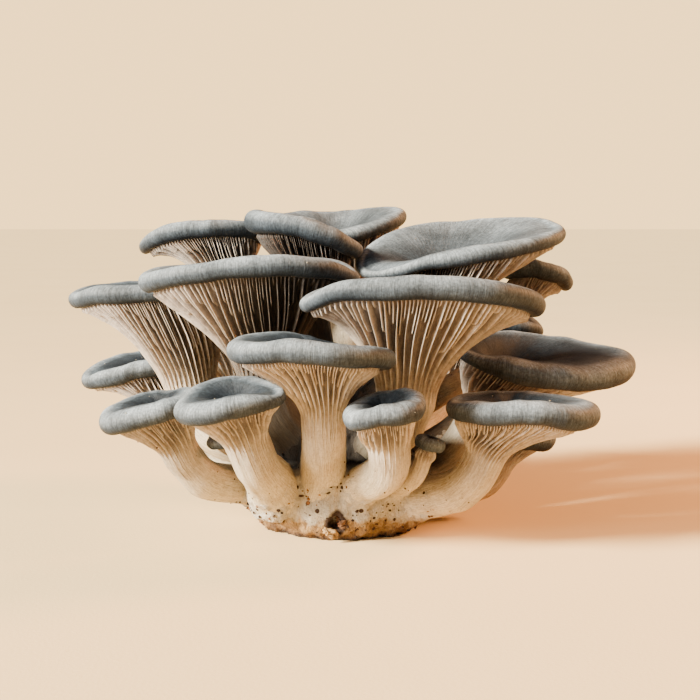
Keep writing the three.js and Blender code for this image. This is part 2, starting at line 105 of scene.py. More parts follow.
# %% Node helpers
def add(tree, kind, inputs=None, **settings):
    """A new node of a kind, with its inputs set to numbers or linked to sockets."""
    node = tree.nodes.new("ShaderNode" + kind)
    for key, value in settings.items():
        setattr(node, key, value)
    for key, value in (inputs or {}).items():
        if isinstance(value, bpy.types.NodeSocket):
            tree.links.new(value, node.inputs[key])
        else:
            node.inputs[key].default_value = value
    return node


def place_on(tree):
    """Where on the object a point is, in metres."""
    return add(tree, "TexCoord").outputs["Object"]


def height_of(tree, where):
    """How high such a place is."""
    return add(tree, "SeparateXYZ", {"Vector": where}).outputs["Z"]


def layer(tree, key, output="Fac"):
    """A number that the mesh holds for each of its points, or a vector."""
    return add(tree, "Attribute", attribute_name=key).outputs[output]


def new_material(name, **sockets):
    """A principled material, its node tree and its shader, with constants on the shader's sockets."""
    material = bpy.data.materials.new(name)
    material.use_nodes = True
    shader = material.node_tree.nodes["Principled BSDF"]
    for key, value in sockets.items():
        shader.inputs[key.replace("_", " ")].default_value = value
    return material, material.node_tree, shader


print("node helpers ready")

# %% [markdown]
# ## Noise, colour and relief
# Each finish is put together from the same few steps. A noise in the place or in the grain gives a
# value, a ramp turns the value into a colour, the colour tints what lies below it, and the same
# noise raises the relief, so that dark and low go together.


# %% Noise and colour helpers
def noise(tree, where, scale, detail=3.0, roughness=0.55):
    """The value of a noise texture at a position."""
    inputs = {"Vector": where, "Scale": scale, "Detail": detail, "Roughness": roughness}
    return add(tree, "TexNoise", inputs).outputs["Fac"]


def stretched(tree, where, factors):
    """A position with each of its axes scaled by a factor of its own."""
    return add(tree, "Mapping", {"Vector": where, "Scale": factors}).outputs["Vector"]


def ramp(tree, value, stops):
    """A colour, or a grey, that changes with a value. Each stop is a place and a colour."""
    node = add(tree, "ValToRGB", {"Fac": value})
    elements = node.color_ramp.elements
    while len(elements) < len(stops):
        elements.new(0.5)
    for element, (place, colour) in zip(elements, stops):
        element.position = place
        grey = isinstance(colour, (int, float))
        element.color = (colour, colour, colour, 1) if grey else (*colour, 1)
    return node.outputs["Color"]


def blend(tree, factor, first, second, kind="MIX"):
    """Two colours mixed by a factor, or multiplied, or added."""
    node = add(tree, "Mix", data_type="RGBA", blend_type=kind)
    for key, value in ((0, factor), (6, first), (7, second)):
        if isinstance(value, bpy.types.NodeSocket):
            tree.links.new(value, node.inputs[key])
        else:
            node.inputs[key].default_value = value if key == 0 else (*value, 1)
    return node.outputs[2]


def tinted(tree, colour, strength, value, stops):
    """A colour multiplied by a ramp of a value, at some strength."""
    return blend(tree, strength, colour, ramp(tree, value, stops), "MULTIPLY")


def maths(tree, operation, first, second=0.0, clamp=False):
    """One sum on two numbers."""
    return add(tree, "Math", {0: first, 1: second}, operation=operation, use_clamp=clamp).outputs[0]


def specks(tree, where, scale, share, radius):
    """1 on round specks: of all cells of a scale, a share hold one, up to a radius in cell widths."""
    cells = add(tree, "TexVoronoi", {"Vector": where, "Scale": scale})
    pick = add(tree, "SeparateColor", {"Color": cells.outputs["Color"]}).outputs["Red"]
    size = maths(tree, "MULTIPLY", maths(tree, "SUBTRACT", pick, 1 - share, clamp=True), radius / share)
    return maths(tree, "LESS_THAN", cells.outputs["Distance"], size)


def roughen(tree, shader, *reliefs):
    """Relief on a surface, one on top of the other, each from a height and its depth in metres."""
    below = {}
    for height, depth in reliefs:
        inputs = {"Height": height, "Distance": depth, "Strength": 1.0, **below}
        below = {"Normal": add(tree, "Bump", inputs).outputs["Normal"]}
    tree.links.new(below["Normal"], shader.inputs["Normal"])


print("noise and colour helpers ready")

# %% [markdown]
# ## The table
# The floor is a plain pale sheet, far wider than the picture. It bounces light up under the caps,
# so its cream colour tints them from below. It is part of the stage, not of the cluster.

# %% The floor
FLOOR_SIZE = 6.0  # metres from the middle to each side

floor_bm = bmesh.new()
bmesh.ops.create_grid(floor_bm, x_segments=8, y_segments=8, size=FLOOR_SIZE)
floor = new_object("floor", mesh_from(floor_bm, "floor"))

paper, tree, shader = new_material("paper", Roughness=0.9, Specular_IOR_Level=0.0)
position = place_on(tree)
mottle = noise(tree, position, 9, 5)
paper_colour = ramp(tree, mottle, [(0.3, (0.77, 0.545, 0.28)), (0.7, (0.80, 0.57, 0.295))])
tree.links.new(paper_colour, shader.inputs["Base Color"])
roughen(tree, shader, (noise(tree, position, 900, 4), 0.00005))
floor.data.materials.append(paper)
print("floor:", 2 * FLOOR_SIZE, "metres wide")

# %% [markdown]
# ## The light
# A low sun on the left lights the near sides of rims and stems, as a window would, and throws the
# shadow to the right. A soft lamp low at the front left shines in under the caps and opens the
# gills, and a warm one at the back right edges the caps there. The sky that the camera sees is
# brighter than the light it gives, so that the hollows between the stems stay dark.


# %% The lamps and the sky
def aimed(place, aim):
    """The turn of a lamp at a place that faces an aim."""
    return (Vector(aim) - Vector(place)).to_track_quat("-Z", "Y").to_euler()


def add_lamp(name, place, aim, side, power, colour):
    """A square soft lamp, in metres."""
    lamp = new_object(name, bpy.data.lights.new(name, "AREA"))
    lamp.data.size = side
    lamp.data.energy = power
    lamp.data.color = colour
    lamp.location = place
    lamp.rotation_euler = aimed(place, aim)


MIDDLE = (0.0, 0.0, 0.05)
WINDOW_SIDE = (-0.80, -0.38, 0.39)  # a point on the line from the middle of the floor to the sun
add_lamp("front_fill", (-0.60, -0.40, 0.14), MIDDLE, 0.34, 11, (1.0, 0.95, 0.86))
add_lamp("back_edge", (0.62, 0.14, 0.36), MIDDLE, 0.20, 11, (1.0, 0.48, 0.20))

window = new_object("window", bpy.data.lights.new("window", "SUN"))
window.data.energy = 23
window.data.angle = math.radians(12)
window.data.color = (1.0, 0.92, 0.76)
window.rotation_euler = aimed(WINDOW_SIDE, (0, 0, 0))

SKY_GIVEN = (0.10, 0.12, 0.15)  # the light that the sky gives
SKY_SEEN = (3.05, 1.93, 0.80)  # the sky that the camera sees, as bright as the far floor
sky = bpy.data.worlds.new("sky")
sky.use_nodes = True
ray = add(sky.node_tree, "LightPath")
seen = blend(sky.node_tree, ray.outputs["Is Camera Ray"], SKY_GIVEN, SKY_SEEN)
sky.node_tree.links.new(seen, sky.node_tree.nodes["Background"].inputs["Color"])
bpy.context.scene.world = sky

# %% [markdown]
# ## Numbers and vectors
# The surfaces are worked out for all their points at once, with arrays whose last axis holds x, y
# and z. These few helpers keep the formulas below as short as they are on paper. Unevenness is a
# sum of plane waves in random directions: it gives smooth lumps of one size at any set of points,
# and the same lumps at each run, because its random numbers start from a seed.

# %% Vector helpers
MM = 0.001
TURN = 2 * math.pi
WAVES = 12


def mix(a, b, share):
    return a + (b - a) * share


def ease(share):
    """From 0 to 1, starting and ending level."""
    share = np.clip(share, 0, 1)
    return share * share * (3 - 2 * share)


def dot(a, b):
    return np.sum(a * b, axis=-1, keepdims=True)


def unit(vector):
    return vector / np.linalg.norm(vector, axis=-1, keepdims=True)


def bezier(a, b, c, d, share):
    """Points on cubic curves, whose end and handle points may be arrays."""
    rest = 1 - share
    return rest**3 * a + 3 * rest**2 * share * b + 3 * rest * share**2 * c + share**3 * d


def unevenness(points, length, seed):
    """Smooth lumps about half a length across, mostly from -1 to 1."""
    rng = np.random.default_rng(seed)
    total = np.zeros(points.shape[:-1])
    for _ in range(WAVES):
        direction = unit(rng.normal(size=3)) * TURN / (length * rng.uniform(0.75, 1.35))
        total += np.sin(points @ direction + rng.uniform(0, TURN))
    return total / math.sqrt(WAVES)


def lumps(points, kinds, seed=0):
    """Heights in mm from kinds of lumps, each with its height, its length and its own seed."""
    return sum(high * unevenness(points, length, seed + own) for high, length, own in kinds)


def ring(angle, side, other):
    """Directions round an axis at some angles, from two directions across it."""
    return np.cos(angle)[..., None] * side + np.sin(angle)[..., None] * other


print("unevenness at the origin:", round(float(unevenness(np.zeros(3), 5, 1)), 3))

# %% [markdown]
# ## Points as arrays
# Blender hands over all points of a mesh in one long list, and takes them back the same way. An
# attribute is a number or a vector for each point, which a material can read later.


# %% Read and write a mesh's points
def read(mesh, what, size):
    """One property of all points of a mesh as an array: places in millimetres, or normals."""
    values = np.empty(len(mesh.vertices) * size, np.float32)
    mesh.vertices.foreach_get(what, values)
    return values.reshape(-1, size).astype(float) / (MM if what == "co" else 1)


def move_to(mesh, points):
    """Moves all points of a mesh to places in millimetres."""
    mesh.vertices.foreach_set("co", (points * MM).astype(np.float32).ravel())
    mesh.update()


def push_out(mesh, heights):
    """Moves each point of a mesh along its normal by its own height, in millimetres."""
    move_to(mesh, read(mesh, "co", 3) + read(mesh, "normal", 3) * np.asarray(heights)[:, None])


def read_layer(mesh, key, size=1):
    """An attribute of all points of a mesh as an array."""
    values = np.empty(len(mesh.vertices) * size, np.float32)
    mesh.attributes[key].data.foreach_get("vector" if size == 3 else "value", values)
    return (values.reshape(-1, size) if size > 1 else values).astype(float)


def write_layer(mesh, key, values):
    """An attribute from a number, or a vector, for every point of a mesh."""
    is_vector = values.shape[-1] == 3
    made = mesh.attributes.new(key, "FLOAT_VECTOR" if is_vector else "FLOAT", "POINT")
    made.data.foreach_set("vector" if is_vector else "value", values.astype(np.float32).ravel())


print("mesh helpers ready")

# %% [markdown]
# ## One closed skin
# A cap and a stalk are both bags: a sheet wrapped round an axis and drawn together at both ends. So
# each starts as a grid from one operator, whose points are moved onto the surface. The two long
# edges then meet, the first and last rows shrink to points, and merging doubles closes them. The
# grain is a map of the surface, round the axis and along the skin, that streaks can follow.

# %% Wrap a grid into a skin
WELD = 2e-6  # metres


def grain_of(rows, angle, radius):
    """A grain vector for rows of points: two parts go round, and one measures along the rows."""
    steps = np.linalg.norm(np.diff(rows, axis=0), axis=2).mean(axis=1)
    run = np.concatenate([[0], np.cumsum(steps)])
    parts = (radius * np.cos(angle), radius * np.sin(angle), run[:, None])
    return np.stack([np.broadcast_to(part, rows.shape[:2]) for part in parts], axis=2)


def wrapped(name, points, **attributes):
    """A closed mesh from rows of points in millimetres that each go once round. The attributes are
    numbers or vectors for every point, for the materials to read."""
    rows, columns = points.shape[:2]
    bm = bmesh.new()
    bm.loops.layers.uv.new("skin")
    bmesh.ops.create_grid(bm, x_segments=columns - 1, y_segments=rows - 1, size=1, calc_uvs=True)
    mesh = mesh_from(bm, name)
    move_to(mesh, points)
    for key, values in attributes.items():
        write_layer(mesh, key, values)
    bm = bmesh.new()
    bm.from_mesh(mesh)
    bmesh.ops.remove_doubles(bm, verts=bm.verts, dist=WELD)
    bmesh.ops.recalc_face_normals(bm, faces=bm.faces)
    bm.to_mesh(mesh)
    bm.free()
    mesh.shade_smooth()
    return mesh


print("skin helpers ready")

# %% [markdown]
# ## Pieces and the frame
# A finished piece hides the solids of the imported model that it stands for, and is hung on the body
# that carries it. The cluster is one rigid body, named root, so all pieces ride it.

# %% Hand a finished mesh to the frame
triangles = {}


def place(mesh, material, slot, *nodes):
    """Makes a mesh a piece of the cluster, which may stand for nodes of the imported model."""
    piece = new_object(mesh.name, mesh)
    mesh.materials.clear()
    mesh.materials.append(material)
    if nodes:
        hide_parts(*nodes)
    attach(piece, "root")
    triangles[piece.name] = sum(len(p.vertices) - 2 for p in mesh.polygons)
    return piece


print("ready to place pieces")

# %% [markdown]
# ## The crowd
# No two mushrooms match, so each has an entry of its own in a table, in millimetres. The numbers
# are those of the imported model's source, so every finished piece lies on the solid that it stands
# for. Three grades say how many gills a mushroom has and how fine its grid is.

# %% The table of mushrooms
# The first line of a mushroom is its cap. cap: middle of the rim. size: half width and half depth.
# lean: tip of the axis towards +X and +Y. cup: depth of the hollow. roll: rim thickness. droop: how
# far the rim's two sides hang below front and back. frill: how far the rim strays from an ellipse
# and from a plane.
# The second line is its stalk. neck: where the gills run out. root: where the stem leaves the butt.
# rise: how steeply it starts. girth: stem radius at neck and root. flare: from gills that run
# straight down, 0, to gills that start out level, 1.
# Last may come bends, the places where the rim leaves its shape, each with its angle and half its
# width in degrees, how far it is lifted and pushed out there, and the share by which it is slimmer;
# and pit, how far the hollow's lowest point is moved towards +X and +Y.
FIELDS = ("grade", "cap", "size", "lean", "cup", "roll", "droop", "frill",
          "neck", "root", "rise", "girth", "flare", "bends", "pit")
MUSHROOMS = {
    "front": ("large", (-7.5, -56, 62.3), (23.5, 18), (0.03, 0), 5, 6.2, 1, (0.03, 0.4),
        (-4.6, -46, 43), (-5.5, -17, 12), 3, (6.2, 7), 0.94, [(58, 38, -8, 0, 0.3), (145, 30, 1.8, 0, 0.2)]),
    "front_small": ("medium", (12.8, -57, 45), (12, 11), (-0.12, -0.08), 1.2, 5.8, 0.4, (0.03, 0.4),
        (14.2, -49.5, 34.4), (3.8, -17, 12), 1, (6.1, 5.8), 0.75,
        [(15, 45, 2.2, 0, 0.1), (90, 55, 1.4, 0, 0.25)]),
    "left_curl": ("medium", (-31.8, -55, 48), (15.2, 13), (-0.2, -0.18), 5, 6, 0.5, (0.04, 0.6),
        (-26.5, -47.5, 35.5), (-18.8, -17.5, 12), 1.1, (6.4, 7.4), 0.75,
        [(346, 26, -1.5, 2.8, 0.45), (95, 60, 1, 0, 0.35)], (1.2, 1.2)),
    "left_low": ("medium", (-55.6, -38, 43.2), (15, 12), (-0.25, -0.16), 2.6, 5.8, 0.6, (0.04, 0.6),
        (-48.5, -28.5, 30), (-21, 0, 14), 0.1, (5.6, 6.6), 0.62,
        [(90, 60, 0, 0, 0.3), (215, 50, 0, 0, -0.15)], (0.5, 0.5)),
    "right_low": ("large", (53.5, -40, 43.5), (22.3, 16), (0.05, -0.03), 5, 7, 0.8, (0.02, 0.25),
        (43.5, -32.5, 28.5), (20, -11, 11), 0.15, (6, 6.6), 0.81,
        [(5, 30, 0.3, 0, -0.12), (90, 55, 0.3, 0, 0.45), (182, 24, -0.2, 0, 0.3)], (2, 2)),
    "centre_right": ("large", (24.4, -36, 77.2), (35.8, 24), (0.03, 0.09), 12, 6.8, 1.2, (0.03, 0.5),
        (20, -30, 46), (10, -8, 20), 2.5, (8.8, 7), 0.38, [(358, 20, -2.2, 0, 0.1), (184, 20, -4, -1, 0.4)]),
    "centre_left": ("large", (-27.8, -8, 82.3), (34.5, 22), (-0.06, 0.05), 12, 6.2, 0.7, (0.03, 0.6),
        (-23, -9, 49), (-8, -6, 22), 1.5, (8.8, 7), 0.31,
        [(356, 16, -3, -1, 0.25), (186, 16, -1, 0, 0), (150, 26, 0.8, 0, 0)]),
    "left_wide": ("large", (-63.5, 22, 73.6), (26.5, 17), (0.01, 0.02), 10, 6.2, 0.5, (0.03, 0.6),
        (-49.5, 16.5, 42), (-12, 1, 20), 0.3, (8.4, 6.6), 0.5, [(188, 20, -1.8, 0, 0.1)]),
    "left_back": ("medium", (-71, 42, 46.5), (19.5, 14), (-0.1, -0.08), -1, 6.4, 0.6, (0.04, 0.6),
        (-61, 36, 31), (-20, 8, 10), 0.1, (5.2, 5.6), 0.62, [(188, 26, -2.6, 0, 0.3)]),
    "top_left": ("large", (-47.5, 42, 94), (22.5, 15), (-0.05, 0.03), 5, 6.2, 0.8, (0.04, 0.6),
        (-38, 37, 72), (-9, 11, 27), 1, (5.6, 5.4), 0.56, [(187, 24, -4.4, 0, 0.25), (0, 30, -2, 0, 0.2)]),
    "top_middle": ("large", (-12.2, 25, 94), (21, 15), (0.27, 0.03), 6, 7, 0.8, (0.04, 0.6),
        (-9, 21, 73), (-3, 6, 34), 3, (5.8, 5.2), 0.5, [(180, 50, 0, 0, -0.1), (0, 40, -0.5, 0, 0.2)]),
    "top_back": ("large", (-3, 61, 95.5), (26.5, 16), (-0.08, -0.24), 9, 5, -1.5, (0.03, 0.8),
        (1, 56, 68), (1, 13, 29), 0.8, (5.8, 5.4), 0.38,
        [(20, 24, 0.5, 1, 0), (130, 42, 2, 0, 0.3), (60, 40, 0, 0, 0.3)]),
    "top_right": ("large", (39.4, 24, 90), (34.5, 21), (-0.17, -0.24), 12, 5.4, 0, (0.02, 0.3),
        (31, 23, 60), (6, 5, 32), 1.5, (7.4, 5.8), 0.38,
        [(196, 28, -3.6, 0, 0.45), (125, 40, 2.5, 0, 0.3), (60, 60, 0, 0, 0.35), (0, 22, -1.5, 1, 0)]),
    "top_far_right": ("medium", (69, 50, 79.5), (13, 12), (0.08, 0.05), 3, 6.4, 0.6, (0.03, 0.5),
        (60, 45, 63), (12, 15, 25), 1, (4.2, 4.8), 0.62, [(0, 30, -3.2, 0, 0.2)]),
    "right_back": ("medium", (56, 29, 64), (13, 10.5), (0.06, -0.1), 3.5, 5.8, 0.4, (0.03, 0.5),
        (50.5, 25.5, 49), (18, 5, 17), 0.5, (4.4, 4.8), 0.62, [(355, 42, -3, 0, 0.2)]),
    "right_wide": ("large", (66, 0, 54), (29, 20), (0.12, -0.24), 8, 7.6, 0, (0.03, 0.5),
        (46.5, -1, 36), (18, -3, 13), 0.3, (8, 6.4), 0.75,
        [(195, 32, 0, 1.5, 0.5), (90, 60, 0, 0, 0.5), (350, 50, 0, 0, -0.15)], (-4, 3)),
    "right_tucked": ("small", (60.5, 14, 26.5), (11, 9), (0.12, -0.05), 1, 6.2, 0, (0.02, 0.3),
        (53, 12, 17), (22, 6, 9), 0.15, (4, 4.6), 0.62),
    "button_right": ("small", (26.5, -40, 33.4), (4.7, 4.4), (0.3, -0.1), -1.4, 3.7, 0, (0.02, 0.1),
        (24.8, -37.5, 28), (16, -18, 14), 0.6, (2.5, 3), 0.62),
    "button_left": ("small", (-35.6, -24, 32), (5, 4.8), (-0.35, -0.3), -1.4, 3.4, 0, (0.02, 0.1),
        (-32.3, -19.5, 26.8), (-19.5, -7, 21.5), 0.25, (2, 2.4), 0.62),
    "back_left": ("medium", (-43, 63, 55), (20, 16), (-0.05, 0.15), 6, 6.2, 1, (0.05, 0.8),
        (-37, 55, 38), (-11, 15, 18), 0.8, (5.4, 5.6), 0.5, [(120, 34, -3, 0, 0.2), (20, 30, 1, 1, 0)]),
    "back_middle": ("medium", (5, 77, 60), (19, 14), (0, 0.12), 5, 6.2, 1, (0.05, 0.8),
        (5, 67.5, 42), (1, 17, 18), 0.8, (5.4, 5.6), 0.5, [(60, 30, -2.5, 1, 0.2), (160, 30, 1, 0, 0)]),
    "back_right": ("medium", (46, 64, 54), (18, 14), (0.05, 0.1), 5, 6.2, 1, (0.05, 0.8),
        (39, 56.5, 38), (11, 17, 15), 0.8, (5.2, 5.4), 0.5, [(30, 34, -3, 0, 0.2), (130, 30, 0.8, 1, 0)]),
    "back_low_left": ("medium", (-35, 37, 17.5), (10, 9), (-0.1, 0.12), 1.5, 4.8, 0.6, (0.04, 0.4),
        (-32, 33.5, 10), (-15, 19, 6), 0.25, (4, 4.8), 0.5),
    "back_low": ("medium", (-14, 60, 29), (13.5, 12), (0, 0.12), 3, 5.8, 0.6, (0.05, 0.6),
        (-12.5, 53, 17.5), (-5, 20, 7), 0.3, (4.8, 5.4), 0.5),
    "back_low_right": ("medium", (18, 56, 20.5), (12.5, 11), (0.06, 0.12), 3, 5.6, 0.5, (0.05, 0.6),
        (16.5, 49.5, 12), (7, 21, 6.5), 0.2, (4.6, 5.2), 0.5),
}
# gills: full-length gills, each with two shorter ones beside it. depth: how far they stand out.
# stem, hang, bowl, roll_rows: rows of points on the stem, the gills, the hollow and the rim.
GRADES = {
    "large": dict(gills=35, depth=2.5, stem=18, hang=42, around=264, bowl=22, roll_rows=22),
    "medium": dict(gills=24, depth=1.9, stem=16, hang=34, around=200, bowl=16, roll_rows=20),
    "small": dict(gills=16, depth=1.0, stem=14, hang=22, around=128, bowl=12, roll_rows=16),
}
print("mushrooms:", len(MUSHROOMS))

# %% [markdown]
# ## Where a mushroom's surfaces hang
# Every mushroom gets directions and points of its own: the cap's axis with two directions across
# it, the two ends of its stem, and the foot of its hollow. The hollow lies under the rim, shifted
# towards the stem, because most of these stems come in from one side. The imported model's source
# sets all this out in the same way, with the same steady random phases.

# %% Set up one mushroom
PIT_SHIFT = 0.6  # how far a cap's hollow follows its off-centre stem
PHASES = 4  # starting angles of a rim's waves
PHASE_STEP = 0.37  # between the seeds of two phases
SHUFFLE = (12.9898, 43758.5453)  # factors that turn a seed into an unlike number


def chance(seed):
    """A steady pseudo-random number from 0 to 1."""
    wide = math.sin(seed * SHUFFLE[0]) * SHUFFLE[1]
    return wide - math.floor(wide)


def set_up(name, seed):
    """A mushroom's own directions, and the points that its surfaces hang on."""
    own = {"bends": [], "pit": (0, 0), **dict(zip(FIELDS, MUSHROOMS[name]))}
    m = SimpleNamespace(name=name, seed=seed, **own, **GRADES[own["grade"]])
    m.axis = unit(np.array((*m.lean, 1.0)))
    m.across = unit(np.array((1.0, 0, 0)) - m.axis[0] * m.axis)
    m.along = np.cross(m.axis, m.across)
    m.centre, m.neck, m.root = (np.array(p, float) for p in (m.cap, m.neck, m.root))
    to_neck = m.neck - m.centre
    shift = (to_neck @ m.across) * m.across + (to_neck @ m.along) * m.along
    m.pit_foot = m.centre + PIT_SHIFT * shift + m.pit[0] * m.across + m.pit[1] * m.along
    m.neck_axis = unit(unit(m.centre - m.neck) + m.axis)
    m.phases = [TURN * chance(seed + PHASE_STEP * k) for k in range(1, PHASES + 1)]
    return m


crowd = [set_up(name, seed) for seed, name in enumerate(MUSHROOMS, start=1)]
print("first axis:", np.round(crowd[0].axis, 3))

# %% [markdown]
# ## The rim
# The rim is a wavy ellipse across the cap's axis, with bends where it hangs down or swells out, as
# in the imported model. A finer wander is added here. The cap and its gills both read the rim from
# this one place, so they stay together.

# %% Find the rim
SWELLS = (0.6, 0.4)  # shares of two and of three swells a turn
WANDER = ((5, 0.10), (8, 0.07), (13, 0.04))  # turns and height, mm, of the rim's finer waves
FAT_RIM = 5  # mm, the rim thickness for which the heights of waves and lumps are given


def two_waves(angle, first, second):
    """A waviness of two and three swells a turn, from -1 to 1."""
    return SWELLS[0] * np.cos(2 * angle + first) + SWELLS[1] * np.cos(3 * angle + second)


def bends_of(m, angle):
    """How far the rim is lifted, pushed out and slimmed by its bends, at angles round the cap."""
    sums = np.zeros((3, *np.shape(angle)))
    for at, width, *amounts in m.bends:
        apart = (np.degrees(angle) - at + 180) % 360 - 180
        near = np.exp(-((apart / width) ** 2))
        sums += np.array(amounts, float).reshape(3, *[1] * np.ndim(angle)) * near
    return sums[..., None]


def rim_at(m, angle):
    """The outermost line of the rim at angles round the cap, and the direction inwards from it."""
    p, q, r, s = m.phases
    ellipse = 1 / np.hypot(np.cos(angle) / m.size[0], np.sin(angle) / m.size[1])
    reach = ellipse * (1 + m.frill[0] * two_waves(angle, p, q))
    lift = m.frill[1] * two_waves(angle, r, s) - m.droop * np.cos(2 * angle)
    for turns, height in WANDER:
        reach = reach + height * m.roll / FAT_RIM * np.cos(turns * angle + p * turns)
        lift = lift + height * m.roll / FAT_RIM * np.cos(turns * angle + r * turns)
    bent_up, bent_out, _ = bends_of(m, angle)
    edge = m.centre + (reach[..., None] + bent_out) * ring(angle, m.across, m.along)
    edge = edge + (lift[..., None] + bent_up) * m.axis
    inward = m.pit_foot - edge
    return edge, unit(inward - dot(inward, m.axis) * m.axis)


def beside_rim(m, angle, inward, rise, below=0.0):
    """Points beside the rim, in rim thicknesses inwards and up, then inwards and down by below."""
    edge, inwards = rim_at(m, angle)
    roll = m.roll * (1 - bends_of(m, angle)[2])
    return edge + inwards * (inward * roll + below) + m.axis * (rise * roll - below)


front_edge = rim_at(crowd[0], np.array([-TURN / 4]))[0]
print("front of the first rim:", np.round(front_edge, 1), "mm")

# %% [markdown]
# ## The hollow
# On its way from the rim to its lowest point the cap's top runs level first and then dips. Where
# the rim hangs down, it climbs over a shoulder before that. The underside takes the same way, from
# the lip to a point under the pit.

# %% Find the hollow
BOWL_POWER = 1.7  # how early the cap's top turns down towards its hollow
PIT_FLESH = 0.55  # cap thickness at its lowest point, in rim thicknesses
LIP = SimpleNamespace(inward=0.75, drop=0.42)  # where the gills meet the rim, in rim thicknesses
SHOULDER = 0.85  # how high the cap's top stays inside a rim that hangs down, as a share of the hang
TO_ONE = 27 / 4  # lifts the peak of share**2 * (1 - share) to 1


def bowl_point(m, angle, outer, pit, share):
    """Points on the way from the hollow's lowest point, share 0, to an outer point, share 1."""
    kept = 1 - (1 - share) ** BOWL_POWER
    flat = mix(pit, outer, share)
    height = mix(dot(pit - m.centre, m.axis), dot(outer - m.centre, m.axis), kept)
    hang = np.maximum(0, -bends_of(m, angle)[0])
    height = height + SHOULDER * TO_ONE * share**2 * (1 - share) * hang
    return flat + (height - dot(flat - m.centre, m.axis)) * m.axis


def pit_of(m, below):
    return m.pit_foot - m.axis * (m.cup + below)


def underside(m, angle, share, below):
    """The cap's underside between its gills' ends, or a surface a little below or above it."""
    outer = beside_rim(m, angle, LIP.inward, -LIP.drop, below)
    return bowl_point(m, angle, outer, pit_of(m, PIT_FLESH * m.roll + below), share)


print("lowest point of the first hollow:", np.round(pit_of(crowd[0], 0), 1), "mm")

# %% [markdown]
# ## The skin of a cap
# A grown cap is a dish. Its margin rolls down and in, so that the rim is a fat, smooth cushion, and
# its top sinks to a pit over the stem. The section of the rim is drawn as a few points in rim
# thicknesses and rounded by a spline. The grid then follows it: from the pit over the dish, round
# the rim, and back under the cap, where only the gills see it.

# %% Lay out the caps
# The rim's section from the dish down to the lip: inwards and up, in rim thicknesses.
ROLL_SECTION = np.array([
    (1.0, 0.44), (0.68, 0.49), (0.42, 0.47), (0.19, 0.38), (0.05, 0.22), (0.0, 0.0),
    (0.05, -0.22), (0.18, -0.40), (0.40, -0.50), (0.60, -0.49), (0.75, -0.40),
])
PIT_ROUNDING = 0.1  # share of the dish over which the pit's point is rounded off
SWELL = 0.05  # how much the rim's thickness varies round the cap
LIP_NICKS = 0.12  # mm, how far the lip follows the ends of the gills
NICKS_FROM, NICKS_OVER = 0.6, 0.3  # where on the rim's section that starts, and how soon it is full


def spline(points, count):
    """Evenly spread values on a smooth line through a few points."""
    before, after = 2 * points[0] - points[1], 2 * points[-1] - points[-2]
    padded = np.vstack([before, points, after])
    places = np.linspace(0, len(points) - 1.000001, count)
    whole = places.astype(int)
    t = (places - whole)[:, None]
    a, b, c, d = (padded[whole + k] for k in range(4))
    return 0.5 * (2 * b + (c - a) * t + (2 * a - 5 * b + 4 * c - d) * t**2
                  + (3 * b - a - 3 * c + d) * t**3)


def cap_rows(m):
    """The cap's surface as rows of points, with each row's zone: 0 pit, 1 rim's top, 2 lip."""
    angle = np.linspace(0, TURN, m.around + 1)
    fat = 1 + SWELL * two_waves(angle, m.phases[1], m.phases[2])[None, :, None]
    nicks = LIP_NICKS / m.roll * np.cos(3 * m.gills * angle)[None, :, None]
    section = spline(ROLL_SECTION, m.roll_rows)
    down = ease((np.linspace(0, 1, m.roll_rows) - NICKS_FROM) / NICKS_OVER)[:, None, None]
    inward = section[:, 0, None, None] * fat
    rise = section[:, 1, None, None] * fat + nicks * down
    roll = beside_rim(m, angle, inward, rise)
    share = np.linspace(0, 1, m.bowl + 1)
    full = math.hypot(1, PIT_ROUNDING) - PIT_ROUNDING
    rounded = (np.hypot(share, PIT_ROUNDING) - PIT_ROUNDING) / full
    dish = bowl_point(m, angle, roll[0], pit_of(m, 0), rounded[:, None, None])
    under = [underside(m, angle, way, 0)[None] for way in (0.5, 0.0)]
    rows = np.concatenate([dish[:-1], roll, *under])
    zone = np.concatenate([share[:-1], np.linspace(1, 2, m.roll_rows), [2, 2]])
    return rows, zone, angle


print("rows of a large cap:", len(cap_rows(crowd[0])[0]))

# %% [markdown]
# ## Unevenness on a cap
# No cap is as smooth as its formula. Broad lumps and low streaks along the grain are pushed out of
# the finished skin. They fade towards the lip, so that the gills still meet it.

# %% Model the caps
CAP_LUMPS = ((0.14, 17, 0), (0.03, 6, 50))  # height and length in mm, and what is added to the seed
CAP_STREAKS = ((0.012, 2.4, 90),)
STREAKS_ALONG = (1, 1, 0.12)  # scale of the grain under them: small makes them long
EVEN_FROM, EVEN_OVER = 2.05, 0.25  # zone in which all this would be gone, and over which it fades


def make_cap(m, material):
    rows, zone, angle = cap_rows(m)
    grain = grain_of(rows, angle, sum(m.size) / 2)
    zones = np.broadcast_to(zone[:, None], rows.shape[:2])
    mesh = wrapped(m.name + "_cap", rows, grain=grain, zone=zones)
    broad = lumps(read(mesh, "co", 3), CAP_LUMPS, m.seed) * min(1, m.roll / FAT_RIM)
    streaks = lumps(read_layer(mesh, "grain", 3) * STREAKS_ALONG, CAP_STREAKS, m.seed)
    shown = np.clip((EVEN_FROM - read_layer(mesh, "zone")) / EVEN_OVER, 0, 1)
    push_out(mesh, (broad + streaks) * shown)
    return place(mesh, material, "cap", "cap_" + m.name)


print("ready to model caps")
